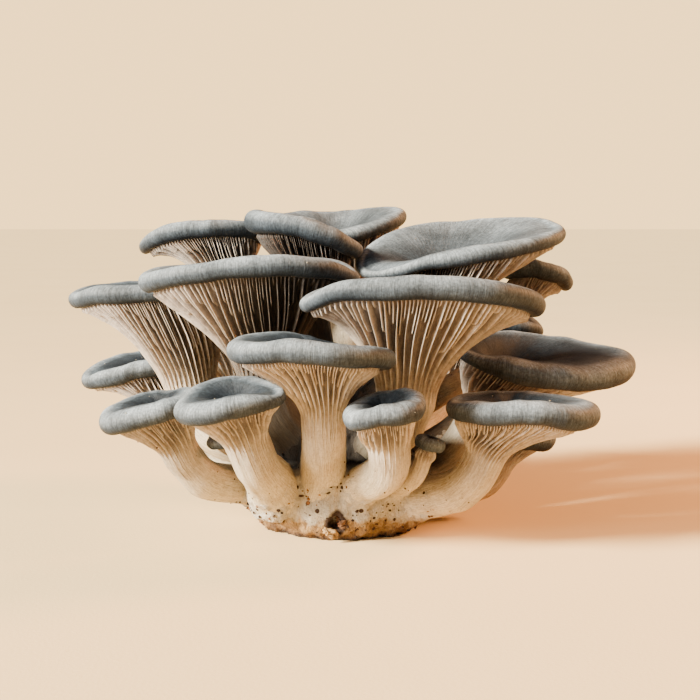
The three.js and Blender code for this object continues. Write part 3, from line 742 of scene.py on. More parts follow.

# %% [markdown]
# ## Cap skin
# The skin is slate grey with a satin sheen. Fine threads in it run from the pit over the rim, so
# its streaks are a noise that is fine round the cap and drawn long along the grain. Blotches read
# the position instead, which keeps them the same size on every cap. The dish and the underside of
# the roll are painted dark, as painted shade, the top of the roll is painted light, as a painted
# highlight, and a thin pale line, the cap's own, marks the lip. The highest caps had the most
# light, so their dishes are painted paler, as painted light.

# %% The cap's material
def cap_material():
    material, tree, shader = new_material(
        "cap_skin", Specular_IOR_Level=0.10, Sheen_Weight=0.02, Sheen_Roughness=0.4)
    grain, position = layer(tree, "grain", "Vector"), place_on(tree)
    threads = noise(tree, stretched(tree, grain, (0.9, 0.9, 0.07)), 1.0, 6, 0.62)
    hairs = noise(tree, stretched(tree, grain, (4.5, 4.5, 0.35)), 1.0, 3, 0.6)
    blotches = noise(tree, position, 85, 4, 0.55)
    grit = noise(tree, position, 1300, 3, 0.7)

    half_zone = maths(tree, "MULTIPLY", layer(tree, "zone"), 0.5)
    # Painted shade in the dish and under the roll, a painted highlight on top of the roll, and the lip's own
    # pale line.
    skin_and_painted_light = ramp(tree, half_zone, [
        (0.0, (0.006, 0.008, 0.011)), (0.30, (0.015, 0.019, 0.024)), (0.44, (0.031, 0.038, 0.045)),
        (0.51, (0.085, 0.102, 0.118)), (0.58, (0.225, 0.250, 0.268)), (0.64, (0.222, 0.247, 0.264)),
        (0.77, (0.045, 0.056, 0.068)), (0.88, (0.011, 0.015, 0.020)), (0.985, (0.102, 0.094, 0.077))])
    # Painted light: the dishes of the highest caps are painted paler.
    painted_lit_dish_colour = ramp(tree, half_zone, [
        (0.0, (0.060, 0.066, 0.074)), (0.30, (0.125, 0.138, 0.148)), (0.44, (0.165, 0.180, 0.190)),
        (0.57, (0.235, 0.262, 0.280)), (0.65, (0.172, 0.196, 0.215))])
    decimetres = maths(tree, "MULTIPLY", height_of(tree, position), 10)
    high_up = ramp(tree, decimetres, [(0.76, 0.0), (0.95, 0.6)])
    in_dish = ramp(tree, half_zone, [(0.57, 1.0), (0.65, 0.0)])
    painted_light_up_high = maths(tree, "MULTIPLY", high_up, in_dish)

    colour = blend(tree, painted_light_up_high, skin_and_painted_light, painted_lit_dish_colour)
    colour = tinted(tree, colour, 0.8, threads, [(0.30, 0.62), (0.50, 0.95), (0.72, 1.18)])
    colour = tinted(tree, colour, 0.9, blotches, [(0.32, 0.50), (0.50, 0.88), (0.68, 1.35)])
    colour = tinted(tree, colour, 0.8, hairs, [(0.34, 0.50), (0.50, 0.95), (0.66, 1.40)])
    colour = tinted(tree, colour, 0.9, grit, [(0.32, 0.62), (0.50, 0.98), (0.70, 1.45)])
    tree.links.new(colour, shader.inputs["Base Color"])
    gloss = ramp(tree, blotches, [(0.3, 0.46), (0.7, 0.58)])
    tree.links.new(gloss, shader.inputs["Roughness"])
    roughen(tree, shader, (threads, 0.00012), (hairs, 0.00010), (grit, 0.00006))
    return material


cap_skin = cap_material()
caps = [make_cap(m, cap_skin) for m in crowd]
print("caps:", len(caps), "with", sum(triangles.values()), "triangles")

# %% [markdown]
# ## Gills that run down the stem
# Under the cap the stem opens like a trumpet, and gills stand out of it as thin ribs that run from
# the rim down into the stem. Between each two full ones hang two shorter ones that end in a tongue.
# The gills could be leaves of their own, but here they are raised from one skin: every gill takes
# five columns of the grid, two on its crest, one at each foot and one in the valley between. So
# crest and valley stay sharp with few points, and stem, ribs and valleys have no seam at all.

# %% Lay out the gills
FOOT = 0.18  # how far a gill's foot spreads into the valley, in valley widths
FOOT_HEIGHT = 0.22  # height of that foot, in gill heights
COLUMNS = 5  # columns of the grid for each gill
SHORT_GILLS = ((0.36, 0.80), (0.74, 0.94))  # where the shorter gills begin on the way to the rim
RUN_DOWN = (0.72, 0.99)  # where on the stem the full gills fade out, from its root to the neck
DEEPEN = (0.30, 0.75)  # where on a gill's way to the rim the valley beside it is at its brownest and in most painted shade
DEEPEN_LAST = 0.4  # the same, for the column that closes the ring
SET_APART = 0.16  # how far a gill may be off its even place, in gill spacings
GILL_HEIGHTS = (0.82, 1.12)  # in the depth of the grade


def gill_plan(m):
    """For every gill: its angle, where it begins, and how high it stands."""
    rng = np.random.default_rng(m.seed)
    count = 3 * m.gills
    plan = SimpleNamespace(count=count, step=TURN / count)
    plan.angle = (np.arange(count) + rng.uniform(-SET_APART, SET_APART, count)) * plan.step
    plan.begin = np.full(count, -1.0)
    for first in range(0, count, 3):
        for after, kind in enumerate(rng.permutation(2), start=1):
            plan.begin[first + after] = rng.uniform(*SHORT_GILLS[kind])
    plan.fade = rng.uniform(*RUN_DOWN, count)
    plan.deepen = np.append(np.repeat(rng.uniform(*DEEPEN, count), COLUMNS), DEEPEN_LAST)
    plan.height = m.depth * rng.uniform(*GILL_HEIGHTS, count)
    return plan


def columns_of(angle, half_crest):
    """The angles of five columns a gill, for one row with a given crest width."""
    next_angle = np.append(angle[1:], angle[0] + TURN)
    left, right = angle - half_crest, angle + half_crest
    valley = next_angle - half_crest - right
    five = [left, right, right + FOOT * valley, right + 0.5 * valley, right + (1 - FOOT) * valley]
    flat = np.stack(five, axis=1).ravel()
    return np.append(flat, flat[0] + TURN)


def levels_of(height):
    """How high those columns stand, in millimetres, from every gill's height in that row."""
    after = np.roll(height, -1)
    five = [height, height, FOOT_HEIGHT * height, np.zeros_like(height), FOOT_HEIGHT * after]
    flat = np.stack(five, axis=1).ravel()
    return np.append(flat, flat[0])


plans = [gill_plan(m) for m in crowd]
print("gills:", sum(plan.count for plan in plans))

# %% [markdown]
# ## The stem's line
# The stem's middle line is a curve from the butt to the neck, and its rings must not twist on the
# way, or the gills would spiral. So the rings are set from the neck down, each one turned as little
# as it can be from the last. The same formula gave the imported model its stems.

# %% Set the stem's rings
STEM_BEND = 0.4  # how far a stem's two end directions reach, as a share of its length
GLANCE = 0.01  # how far ahead and back the curve is read to find its direction, as a share


def stem_frames(m, shares):
    """Middle, side and other side of the stem at shares of its length, from the root up."""
    start = m.neck - m.root
    start[2] = 0
    start = unit(start)
    start[2] = m.rise
    start = unit(start)
    length = np.linalg.norm(m.neck - m.root)
    hold = m.root + start * STEM_BEND * length
    reach = m.neck - m.neck_axis * STEM_BEND * length
    side, frames = m.across, []
    for share in reversed([*shares, 1.0]):
        middle = bezier(m.root, hold, reach, m.neck, share)
        near = (max(0, share - GLANCE), min(1, share + GLANCE))
        ends = [bezier(m.root, hold, reach, m.neck, s) for s in near]
        ahead = unit(ends[1] - ends[0])
        side = unit(side - (side @ ahead) * ahead)
        frames.append((middle, side, np.cross(ahead, side)))
    return frames[:0:-1]


halfway = stem_frames(crowd[0], [0.5])[0][0]
print("middle of the first stem:", np.round(halfway, 1), "mm")

# %% [markdown]
# ## The trumpet
# Above the neck each gill's line is a curve of its own. It leaves along the stem and arrives under
# the lip, turned down there if the rim hangs. The gills stand square on this trumpet. They swell
# from the neck, are highest past half way and get lower again at the rim.

# %% Hang the gills
TRUMPET_BEND = 0.36  # how far the end directions of a gill's line reach, as a share of its length
TIP_OVER = 0.22  # how much a gill turns down at its end for each mm that the rim hangs there
UNDER_LIP = 0.55  # mm, how far below the lip the gills' valleys end
CREST = (0.07, 0.10)  # mm, half the width of a crest at the neck and at the rim
WIDEST = 0.3  # the same at most, in gill spacings
DEEP_GILL = 2.5  # mm, the depth of gill for which crests, sway and browning are given
TONGUE = 0.07  # length over which a short gill rises, as a share of the way to the rim
SHORT_HEIGHT = 0.85  # height of a short gill, in that of a full one
SHARP = 0.1  # share of its height by which a short gill has a crest
# How high the gills stand on the way to the rim: pairs of a share of the way and of full height.
SWELL_ALONG = ((0, 0.09), (0.15, 0.38), (0.35, 0.85), (0.6, 1), (0.85, 0.95), (1, 0.6))
AT_NECK = 0.05  # how much the valleys are painted brown and in shade at the neck, from 0 to 1
SWAY = 0.35  # how far a gill sways to the side, in gill spacings
SWINGS = 2.4 * math.pi  # angle through which that sway runs on the way to the rim
RING_STEPS = 72  # for measuring the way round
NUDGE = 0.02  # share of the way, and angle, over which the trumpet's slope is read


def trumpet(m, angle, share):
    """Points on the smooth trumpet under the gills: share 0 at the neck, 1 at the rim."""
    side = unit(m.across - (m.across @ m.neck_axis) * m.neck_axis)
    start = m.neck + m.girth[0] * ring(angle, side, np.cross(m.neck_axis, side))
    end = beside_rim(m, angle, LIP.inward, -LIP.drop, UNDER_LIP)
    straight = end - start
    reach = np.linalg.norm(straight, axis=-1, keepdims=True)
    straight = straight / reach
    outward = -rim_at(m, angle)[1]
    arrive = mix(straight, outward, m.flare * np.maximum(0, dot(straight, outward)))
    arrive = unit(arrive + m.axis * TIP_OVER * np.minimum(0, bends_of(m, angle)[0]))
    leave = start + m.neck_axis * TRUMPET_BEND * reach
    return bezier(start, leave, end - arrive * TRUMPET_BEND * reach, end, share)


def gill_rows(m, plan):
    """Rows of points from the neck to the rim, and how much of a crest each point is."""
    shares = np.linspace(0, 1, m.hang)
    rows, crests = [], []
    for share in shares:
        circle = trumpet(m, np.linspace(0, TURN, RING_STEPS + 1), share)
        way_round = np.linalg.norm(np.diff(circle, axis=0), axis=1).sum()
        half = min(mix(*CREST, share) * m.depth / DEEP_GILL * TURN / way_round, WIDEST * plan.step)
        swing = np.sin(3 * plan.angle + m.phases[0]) * np.sin(SWINGS * share)
        sway = SWAY * plan.step * (m.depth / DEEP_GILL) ** 3
        angle = columns_of(plan.angle + sway * swing, half)
        risen = ease((share - plan.begin) / TONGUE) * SHORT_HEIGHT
        begun = np.where(plan.begin < 0, 1, risen)
        height = levels_of(plan.height * np.interp(share, *zip(*SWELL_ALONG)) * begun)
        along = trumpet(m, angle, min(1, share + NUDGE)) - trumpet(m, angle, share - NUDGE)
        onward = trumpet(m, angle + NUDGE, share) - trumpet(m, angle - NUDGE, share)
        rows.append(trumpet(m, angle, share) + unit(np.cross(onward, along)) * height[:, None])
        edge = levels_of(ease(begun / SHARP))
        # Valleys darken towards the rim: partly their own browner tone, partly painted shade.
        brown_and_shade = mix(AT_NECK, 1, ease(share / plan.deepen)) * (m.depth / DEEP_GILL)
        crests.append(mix(1, np.minimum(1, edge), brown_and_shade))
    return shares, rows, crests


print("rows of gills on a large stalk:", GRADES["large"]["hang"])

# %% [markdown]
# ## The stem
# The stem carries on the columns of the gills, so the full ones run down it as faint traces and
# fade out one by one. It widens into the felt at its root. Little light comes in between the stems,
# so each point also says how deep in the crowd it lies, and the material paints it dark there, as
# painted shade.

# %% Lead the gills down the stem
BASE_SWELL, BASE_REACH = 0.16, 0.25  # how much wider the root is, and the share of stem it takes
MIDDLE_Y = 4  # mm, the crowd's middle lies a little behind the butt's
DARK_FADE = 14  # mm, over which the painted shade of the crowd fades outwards
DARK_FLOOR, DARK_RISE = 14, 8  # mm, the height at which it starts, and over which it grows


def stem_rows(m, plan):
    """Rows of points up the stem, with the gills' last traces on it."""
    shares = np.linspace(0, 1, m.stem, endpoint=False)
    angle = columns_of(plan.angle, min(CREST[0] / m.girth[0], WIDEST * plan.step))
    full = plan.begin < 0
    edge = np.minimum(1, levels_of(np.where(full, 1.0, 0.0)))
    rows, crests = [], []
    for share, (middle, side, other) in zip(shares, stem_frames(m, shares)):
        trace = ease((share - plan.fade) / (1 - plan.fade))
        height = levels_of(np.where(full, plan.height * trace * SWELL_ALONG[0][1], 0))
        shown = np.append(np.repeat(trace, COLUMNS), trace[0])
        crests.append(mix(1, edge, AT_NECK * shown))
        widened = 1 + BASE_SWELL * math.exp(-((share / BASE_REACH) ** 2))
        radius = mix(m.girth[1], m.girth[0], share) * widened + height
        rows.append(middle + radius[:, None] * ring(angle, side, other))
    return shares, rows, crests, angle


def inner_of(points, reach):
    """How deep in the crowd points lie, for the painted shade there: 1 above the felt and within reach of
    the middle.
    """
    away = np.hypot(points[..., 0], points[..., 1] - MIDDLE_Y)
    return (1 - ease((away - reach) / DARK_FADE)) * ease((points[..., 2] - DARK_FLOOR) / DARK_RISE)


print("columns round the first stem:", len(stem_rows(crowd[0], plans[0])[3]))

# %% [markdown]
# ## One skin for stem and gills
# The rows of the stem, the gills and a hidden top inside the cap are stacked into one grid and
# wrapped. Only the stem is then made uneven, with low flutes along its fibres and broad lumps,
# because the gills have to keep their edges.

# %% Model the stalks
INTO_FLESH = 0.3  # mm, how far the stalk's hidden top reaches into the cap
FLUTES = ((0.07, 2.6, 20),)  # height and length in mm, and what is added to the seed
FLUTES_ALONG = (1, 1, 0.07)  # scale of the grain under them: small makes them long
STEM_LUMPS = ((0.30, 13, 30),)
UNEVEN_TO, UNEVEN_OVER = 0.8, 0.4  # zone in which all this starts to fade, and over which it does
FAT_STEM = 5  # mm, the radius from which a stem has all of it
FRONT_ROW = -25  # mm, necks in front of this have free stems, those behind stand in the crowd
STEMS_FREE, STEMS_CROWDED = 20, 32  # mm, how far from the middle such stems get painted shade


def make_stalk(m, plan, material):
    up, rows, plain, angle = stem_rows(m, plan)
    hang, gilled, crests = gill_rows(m, plan)
    top = [underside(m, angle, share, -INTO_FLESH) for share in (1, 0.5, 0)]
    foot = np.broadcast_to(m.root, rows[0].shape)
    points = np.stack([foot, *rows, *gilled, *top])
    crest = np.stack([plain[0], *plain, *crests] + [crests[-1]] * len(top))
    zone = np.concatenate([[0], up, 1 + hang, [2] * len(top)])
    zones = np.broadcast_to(zone[:, None], points.shape[:2])
    # How much painted shade each point gets, deep in the crowd.
    inner = inner_of(points, STEMS_FREE if m.neck[1] < FRONT_ROW else STEMS_CROWDED)
    grain = grain_of(points, angle, m.girth[0])
    mesh = wrapped(m.name + "_stalk", points, grain=grain, zone=zones, crest=crest, inner=inner)
    on_stem = 1 - ease((read_layer(mesh, "zone") - UNEVEN_TO) / UNEVEN_OVER)
    flutes = lumps(read_layer(mesh, "grain", 3) * FLUTES_ALONG, FLUTES, m.seed)
    broad = lumps(read(mesh, "co", 3), STEM_LUMPS, m.seed)
    push_out(mesh, (flutes + broad) * min(1, m.girth[0] / FAT_STEM) * on_stem)
    return place(mesh, material, "stalk", "stalk_" + m.name)


print("ready to model stalks")

# %% [markdown]
# ## Flesh
# The flesh is cream. Its threads run up the stem and out along the gills, so the fine streaks are
# drawn long along the grain again. Valleys between gills look browner than crests, partly because
# light has to go in and out, and partly because they are. The crest attribute tells the material
# where they are, so it paints them darker, with their own browner tone and with painted shade, and
# paints the crests lighter, as a painted highlight. Deep in the crowd the flesh is painted dark,
# as painted shade. Dark specks lie low on the stems. A little light is let under the surface, as
# in any thin moist thing.

# %% The stalk's material
def stalk_material():
    material, tree, shader = new_material(
        "flesh", Roughness=0.62, Specular_IOR_Level=0.35, Subsurface_Weight=0.12,
        Subsurface_Scale=0.0015, Subsurface_Radius=(1.0, 0.7, 0.45))
    grain, position = layer(tree, "grain", "Vector"), place_on(tree)
    threads = noise(tree, stretched(tree, grain, (1.3, 1.3, 0.10)), 1.0, 6, 0.65)
    hairs = noise(tree, stretched(tree, grain, (4.2, 4.2, 0.40)), 1.0, 4, 0.65)
    clouds = noise(tree, position, 110, 5, 0.6)
    grit = noise(tree, position, 1500, 3, 0.7)

    half_zone = maths(tree, "MULTIPLY", layer(tree, "zone"), 0.5)
    colour = ramp(tree, half_zone, [
        (0.08, (0.50, 0.44, 0.33)), (0.30, (0.48, 0.41, 0.29)), (0.55, (0.39, 0.34, 0.28)),
        (0.95, (0.37, 0.325, 0.285))])
    # Valleys painted darker, partly their own browner tone and partly painted shade; crests painted lighter
    # as a painted highlight.
    colour = tinted(tree, colour, 1.0, layer(tree, "crest"), [
        (0.0, (0.37, 0.345, 0.34)), (0.22, (0.55, 0.52, 0.51)), (0.60, (0.76, 0.73, 0.71)),
        (1.0, (1.08, 1.06, 1.03))])
    colour = tinted(tree, colour, 0.8, threads, [(0.30, 0.80), (0.55, 1.0), (0.75, 1.08)])
    colour = tinted(tree, colour, 0.8, hairs, [(0.32, 0.50), (0.50, 0.94), (0.70, 1.20)])
    colour = tinted(tree, colour, 0.7, grit, [(0.34, 0.70), (0.50, 1.0), (0.70, 1.12)])
    colour = tinted(tree, colour, 0.8, clouds, [
        (0.32, (0.74, 0.67, 0.60)), (0.62, (1.06, 1.05, 1.03))])
    # Painted shade deep in the crowd, where little light comes in between the stems.
    colour = tinted(tree, colour, 1.0, layer(tree, "inner"), [
        (0.0, (1, 1, 1)), (1.0, (0.09, 0.08, 0.075))])
    low = ramp(tree, half_zone, [(0.10, 1.0), (0.45, 0.35), (0.60, 0.0)])
    for scale, share, radius in ((330, 0.12, 0.17), (900, 0.12, 0.24)):
        speck = maths(tree, "MULTIPLY", specks(tree, position, scale, share, radius), low)
        colour = blend(tree, speck, colour, (0.055, 0.028, 0.014))
    tree.links.new(colour, shader.inputs["Base Color"])
    roughen(tree, shader, (threads, 0.00045), (hairs, 0.00025), (grit, 0.00008))
    return material


flesh = stalk_material()
stalks = [make_stalk(m, plan, flesh) for m, plan in zip(crowd, plans)]
print("stalks:", len(stalks), "triangles so far:", sum(triangles.values()))

# %% [markdown]
# ## The butt and its felt
# The stems spring from one lump, and pale felt grows over the joins, so there is no line where one
# ends and the next begins. Modelling each fillet by hand would be slow. Instead the lump and a short
# stub of every stem are thrown together, a voxel remesh makes one skin of them, and smoothing rounds
# the corners between them as felt does. Each stub tapers, so that it ends inside its stem.

# %% Shape the lump and the stubs
# Radius of the butt at each height: a foot cut flat, a fat skirt, then a mound of fused stems.
BUTT_PROFILE = np.array([
    (0, 21.5), (1.6, 24), (5, 26.8), (10, 28.4), (15, 27.6), (19.5, 24.5), (25, 19.5), (31, 14.5),
    (37, 9)], float)
BUTT_TOP = 40.5
BUTT_DEPTH = 0.98  # front to back over side to side
# Lobes a turn, their height as a share of the radius, where they start, and their twist per mm.
BUTT_LOBES = ((2, 0.045, 0.6, 0), (5, 0.035, 1.9, 0.08), (9, 0.02, 0, -0.15))
BUTT_COLUMNS = 120
BUTT_ROWS = 48
STUB = 0.42  # how far a stub follows its stem, as a share of the stem's length
STUB_COLUMNS = 32
STUB_ROWS = 12
STUB_WIDTH = (1.3, 0.9)  # in stem radii, at the root and at the end


def butt_rows():
    """Rows of points up the butt, closed by a point at either end."""
    height, radius = spline(BUTT_PROFILE, BUTT_ROWS).T
    angle = np.linspace(0, TURN, BUTT_COLUMNS + 1)
    around, z = np.meshgrid(angle, height)
    uneven = 1 + sum(high * np.cos(turns * around + phase + twist * z)
                     for turns, high, phase, twist in BUTT_LOBES)
    reach = radius[:, None] * uneven
    rings = np.stack([reach * np.cos(around), BUTT_DEPTH * reach * np.sin(around), z], axis=2)
    ends = [np.broadcast_to((0.0, 0.0, end), (1, *rings.shape[1:])) for end in (0.0, BUTT_TOP)]
    return np.concatenate([ends[0], rings, ends[1]])


def stub_rows(m):
    """Rows of points along a stub, closed in the same way."""
    shares = np.linspace(0, STUB, STUB_ROWS)
    angle = np.linspace(0, TURN, STUB_COLUMNS + 1)
    rows = []
    for share, (middle, side, other) in zip(shares, stem_frames(m, shares)):
        radius = mix(m.girth[1], m.girth[0], share) * mix(*STUB_WIDTH, share / STUB)
        rows.append(middle + radius * ring(angle, side, other))
    ends = [np.broadcast_to(rows[k].mean(axis=0), rows[k].shape) for k in (0, -1)]
    return np.stack([ends[0], *rows, ends[1]])


lump = wrapped("lump", butt_rows())
stubs = [wrapped("stub", stub_rows(m)) for m in crowd]
print("stubs:", len(stubs))

# %% [markdown]
# ## One skin round the lump
# The remesh is a modifier. It reads all the bodies at once, fills a grid of tiny cubes with them and
# skins the cubes. A temporary object carries it, and only the finished mesh is kept.

# %% Fuse them into one skin
VOXEL = 0.00075  # metres
SMOOTHING = 7  # rounds
HALF_WAY = 0.5  # how far a round moves each point towards the middle of its neighbours


def fused(name, meshes, voxel):
    """One closed skin round meshes that overlap."""
    bm = bmesh.new()
    for mesh in meshes:
        bm.from_mesh(mesh)
    source = new_object("joined", mesh_from(bm, "joined"))
    remesh = source.modifiers.new("skin", "REMESH")
    remesh.mode = "VOXEL"
    remesh.voxel_size = voxel
    graph = bpy.context.evaluated_depsgraph_get()
    skin = bpy.data.meshes.new_from_object(source.evaluated_get(graph))
    bpy.data.objects.remove(source)
    skin.name = name
    bm = bmesh.new()
    bm.from_mesh(skin)
    for _ in range(SMOOTHING):
        bmesh.ops.smooth_vert(
            bm, verts=bm.verts, factor=HALF_WAY, use_axis_x=True, use_axis_y=True, use_axis_z=True)
    bm.to_mesh(skin)
    bm.free()
    skin.shade_smooth()
    return skin


butt_mesh = fused("butt_felt", [lump, *stubs], VOXEL)
print("butt skin:", len(butt_mesh.vertices), "points")

# %% [markdown]
# ## Felt, crust and the hollow
# The felt is lumpy and matted. Low on the butt it gives way to a tan crust with a ragged lower
# edge, where the cluster was torn from the block it grew on, and in front a hollow holds a few
# chips of that block. All of this is moved into the skin: lumps along the normal, the hollow by
# pushing points out of an egg-shaped space, and the foot by pressing whatever is below it flat.

# %% Roughen the butt
HOLLOW = np.array((-1, -27.5, 5.4))
HOLLOW_RADII = np.array((2.8, 4.4, 3.9))
CRUST = 3.0  # mm, height of the crust
CRUST_FADE = 4  # mm, over which it gives way to felt
FELT_CROWDED = 22  # mm, how far from the middle the felt gets painted shade
FELT_DARK_LOWER = 5  # mm, how much deeper the painted shade reaches on the felt than on the stems
# Kinds of lumps, each with its height and length in mm and its seed.
FELT_LUMPS = ((0.34, 6, 61), (0.22, 2.6, 62))
CRUST_LUMPS = ((0.45, 5, 63),)
CRUST_RIDGES = ((0.30, 2.4, 64),)
RIDGES_FLAT = (1, 1, 2.2)  # scale of the place under them: large makes them low
RAGS = ((0.9, 7, 65),)
WALL_LUMPS = ((0.14, 3.2, 77),)  # here the height is a share of the hollow's radius
RAG_DROP = 0.2  # the share of a rag by which the crust is pulled down
FLAT_BELOW = 0.4  # mm, what lies lower is pressed flat


def hollowed(at):
    """Points inside the hollow, pushed out to its uneven wall."""
    away = (at - HOLLOW) / HOLLOW_RADII
    wall = 1 + lumps(at, WALL_LUMPS)
    reach = np.linalg.norm(away, axis=1)
    outside = np.maximum(1, wall / np.maximum(reach, 1e-6))
    return HOLLOW + away * HOLLOW_RADII * outside[:, None]


at = read(butt_mesh, "co", 3)
crust = lumps(at, CRUST_LUMPS) + np.abs(lumps(at * RIDGES_FLAT, CRUST_RIDGES))
low = 1 - ease((at[:, 2] - CRUST) / CRUST_FADE)
push_out(butt_mesh, mix(lumps(at, FELT_LUMPS), crust, low))
at = hollowed(read(butt_mesh, "co", 3))
ragged = np.maximum(0, lumps(at * (1, 1, 0), RAGS))
at[:, 2] = np.where(at[:, 2] < FLAT_BELOW, 0, np.maximum(0, at[:, 2] - RAG_DROP * ragged))
move_to(butt_mesh, at)
# Painted shade deep in the crowd, reaching a little lower on the felt than on the stems.
write_layer(butt_mesh, "inner", inner_of(at - (0, 0, FELT_DARK_LOWER), FELT_CROWDED))
print("the felt reaches up to", round(at[:, 2].max(), 1), "mm")

# %% [markdown]
# ## What felt looks like
# Its colour follows the height, but a noise is added to the height first, so that the edge between
# crust and felt is ragged. Near the top the felt is painted a little darker, and deep in the crowd
# much darker, both as painted shade. Mats and wool are noises drawn a little upright, and the fuzz
# between them in size is a plain one. The hollow is painted near black, partly its own dark brown
# and partly painted shade, and dark and rusty specks lie all over.

# %% The felt's material
FELT_LINE = 0.024  # metres, the height that the colours below are a share of
LINE_STRAYS = 0.012  # metres, by how much that height strays


def felt_material():
    material, tree, shader = new_material(
        "felt", Roughness=0.88, Specular_IOR_Level=0.2, Sheen_Weight=0.04, Sheen_Roughness=0.6,
        Subsurface_Weight=0.10, Subsurface_Scale=0.0012, Subsurface_Radius=(1.0, 0.75, 0.5))
    position = place_on(tree)
    clouds = noise(tree, position, 120, 5, 0.62)
    fuzz = noise(tree, position, 900, 4, 0.7)
    matted = noise(tree, stretched(tree, position, (1, 1, 0.3)), 620, 4, 0.7)
    wool = noise(tree, stretched(tree, position, (1, 1, 0.45)), 2200, 4, 0.7)
    edge = noise(tree, position, 260, 5, 0.6)

    strays = maths(tree, "MULTIPLY", maths(tree, "SUBTRACT", edge, 0.5), LINE_STRAYS)
    level = maths(tree, "ADD", height_of(tree, position), strays)
    level = maths(tree, "DIVIDE", level, FELT_LINE, clamp=True)
    # Dark crust low down, felt above it, and at the top the felt painted a little darker, as painted shade
    # under the caps.
    colour = ramp(tree, level, [
        (0.0, (0.058, 0.029, 0.012)), (0.06, (0.194, 0.101, 0.036)), (0.20, (0.331, 0.205, 0.083)),
        (0.30, (0.42, 0.37, 0.29)), (0.70, (0.42, 0.37, 0.29)), (1.0, (0.38, 0.33, 0.25))])
    # Painted shade deep in the crowd.
    colour = tinted(tree, colour, 1.0, layer(tree, "inner"), [
        (0.0, (1, 1, 1)), (0.6, (0.06, 0.05, 0.045))])
    colour = tinted(tree, colour, 0.8, fuzz, [(0.3, 0.72), (0.65, 1.08)])
    colour = tinted(tree, colour, 0.8, wool, [(0.34, 0.72), (0.52, 1.0), (0.70, 1.12)])
    cracked = tinted(tree, colour, 1.0, matted, [(0.40, (0.42, 0.34, 0.28)), (0.52, (1, 1, 1))])
    in_crust = ramp(tree, level, [(0.20, 0.9), (0.30, 0.0)])
    colour = blend(tree, in_crust, colour, cracked)
    colour = tinted(tree, colour, 0.6, clouds, [(0.56, (1, 1, 1)), (0.72, (0.86, 0.66, 0.44))])

    away = add(tree, "VectorMath", {0: position, 1: tuple(HOLLOW * MM)}, operation="SUBTRACT")
    away = stretched(tree, away.outputs["Vector"], tuple(1 / (HOLLOW_RADII * MM)))
    reach = add(tree, "VectorMath", {0: away}, operation="LENGTH").outputs["Value"]
    # The hollow painted near black: partly its own dark brown, partly painted shade.
    torn = maths(tree, "MULTIPLY", maths(tree, "ADD", reach, edge), 0.4)
    hollow_dark_and_shade = ramp(tree, torn, [(0.64, 1.0), (0.76, 0.0)])
    colour = blend(tree, hollow_dark_and_shade, colour, (0.030, 0.014, 0.007))
    for scale, share, radius, tint in (
            (300, 0.34, 0.24, (0.035, 0.018, 0.010)), (800, 0.16, 0.26, (0.050, 0.026, 0.013)),
            (230, 0.10, 0.20, (0.24, 0.090, 0.025))):
        colour = blend(tree, specks(tree, position, scale, share, radius), colour, tint)
    tree.links.new(colour, shader.inputs["Base Color"])
    roughen(tree, shader, (matted, 0.0008), (fuzz, 0.0005), (wool, 0.0003))
    return material


butt = place(butt_mesh, felt_material(), "butt", "butt")
print("butt triangles:", triangles["butt_felt"])

# %% [markdown]
# ## Wood chips
# Three chips of the block it grew on are still held in the hollow and in the flank. Each is a cube,
# cut fine, rounded at its corners and split along its grain by lumps that are long one way. A chip
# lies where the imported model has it, with the same turn.

# %% Chips
CHIPS = {
    "wood_chip_front": dict(at=(-2.6, -25.2, 3.2), size=(4.6, 4, 2.2), turn=(18, 12, 24)),
    "wood_chip_hollow": dict(at=(0.6, -24.4, 6.6), size=(2.4, 4.8, 4.2), turn=(30, -20, 12)),
    "wood_chip_flank": dict(at=(-19.5, -18.5, 6), size=(5.2, 3.2, 1.8), turn=(-12, 30, 48)),
}
CHIP_CUTS = 15
CHIP_ROUNDING = 0.55  # how much its corners are drawn in
CHIP_SPLITS = ((0.30, 1.7, 0),)  # height and length in mm, and what is added to the seed
CHIP_BREAKS = ((0.40, 2.6, 1),)
SPLITS_ALONG = (0.3, 2.4, 2.4)  # scale of the chip under its splits, which run along X
CHIP_WEAR = 0.2  # mm, how much smaller it is all round


def bark_material(name, paleness):
    material, tree, shader = new_material(name, Roughness=0.85, Specular_IOR_Level=0.25)
    position = place_on(tree)
    layers = noise(tree, stretched(tree, position, (0.25, 1, 1)), 900, 5, 0.65)
    patches = noise(tree, position, 260, 3, 0.6)
    colour = ramp(tree, layers, [
        (0.30, (0.018, 0.009, 0.005)), (0.52, (0.07, 0.032, 0.014)), (0.70, (0.22, 0.11, 0.05))])
    colour = tinted(tree, colour, 0.8, patches, [(0.60, (1, 1, 1)), (0.75, (3.2, 1.9, 1.1))])
    colour = blend(tree, paleness, colour, (0.40, 0.25, 0.11))
    tree.links.new(colour, shader.inputs["Base Color"])
    roughen(tree, shader, (layers, 0.0004))
    return material


def make_chip(name, chip, material, seed):
    bm = bmesh.new()
    bmesh.ops.create_cube(bm, size=1)
    bmesh.ops.subdivide_edges(bm, edges=bm.edges, cuts=CHIP_CUTS, use_grid_fill=True)
    mesh = mesh_from(bm, name.replace("wood_", "") + "_bark")
    cube = read(mesh, "co", 3) * MM
    drawn_in = 1 - CHIP_ROUNDING * (np.linalg.norm(cube, axis=1)[:, None] - 0.5)
    sized = cube * drawn_in * chip["size"]
    rough = lumps(sized * SPLITS_ALONG, CHIP_SPLITS, seed) + lumps(sized, CHIP_BREAKS, seed)
    sized = sized + unit(cube) * (rough - CHIP_WEAR)[:, None]
    turn = Euler([math.radians(angle) for angle in chip["turn"]]).to_matrix()
    move_to(mesh, sized @ np.array(turn).T + chip["at"])
    return place(mesh, material, "wood", name)


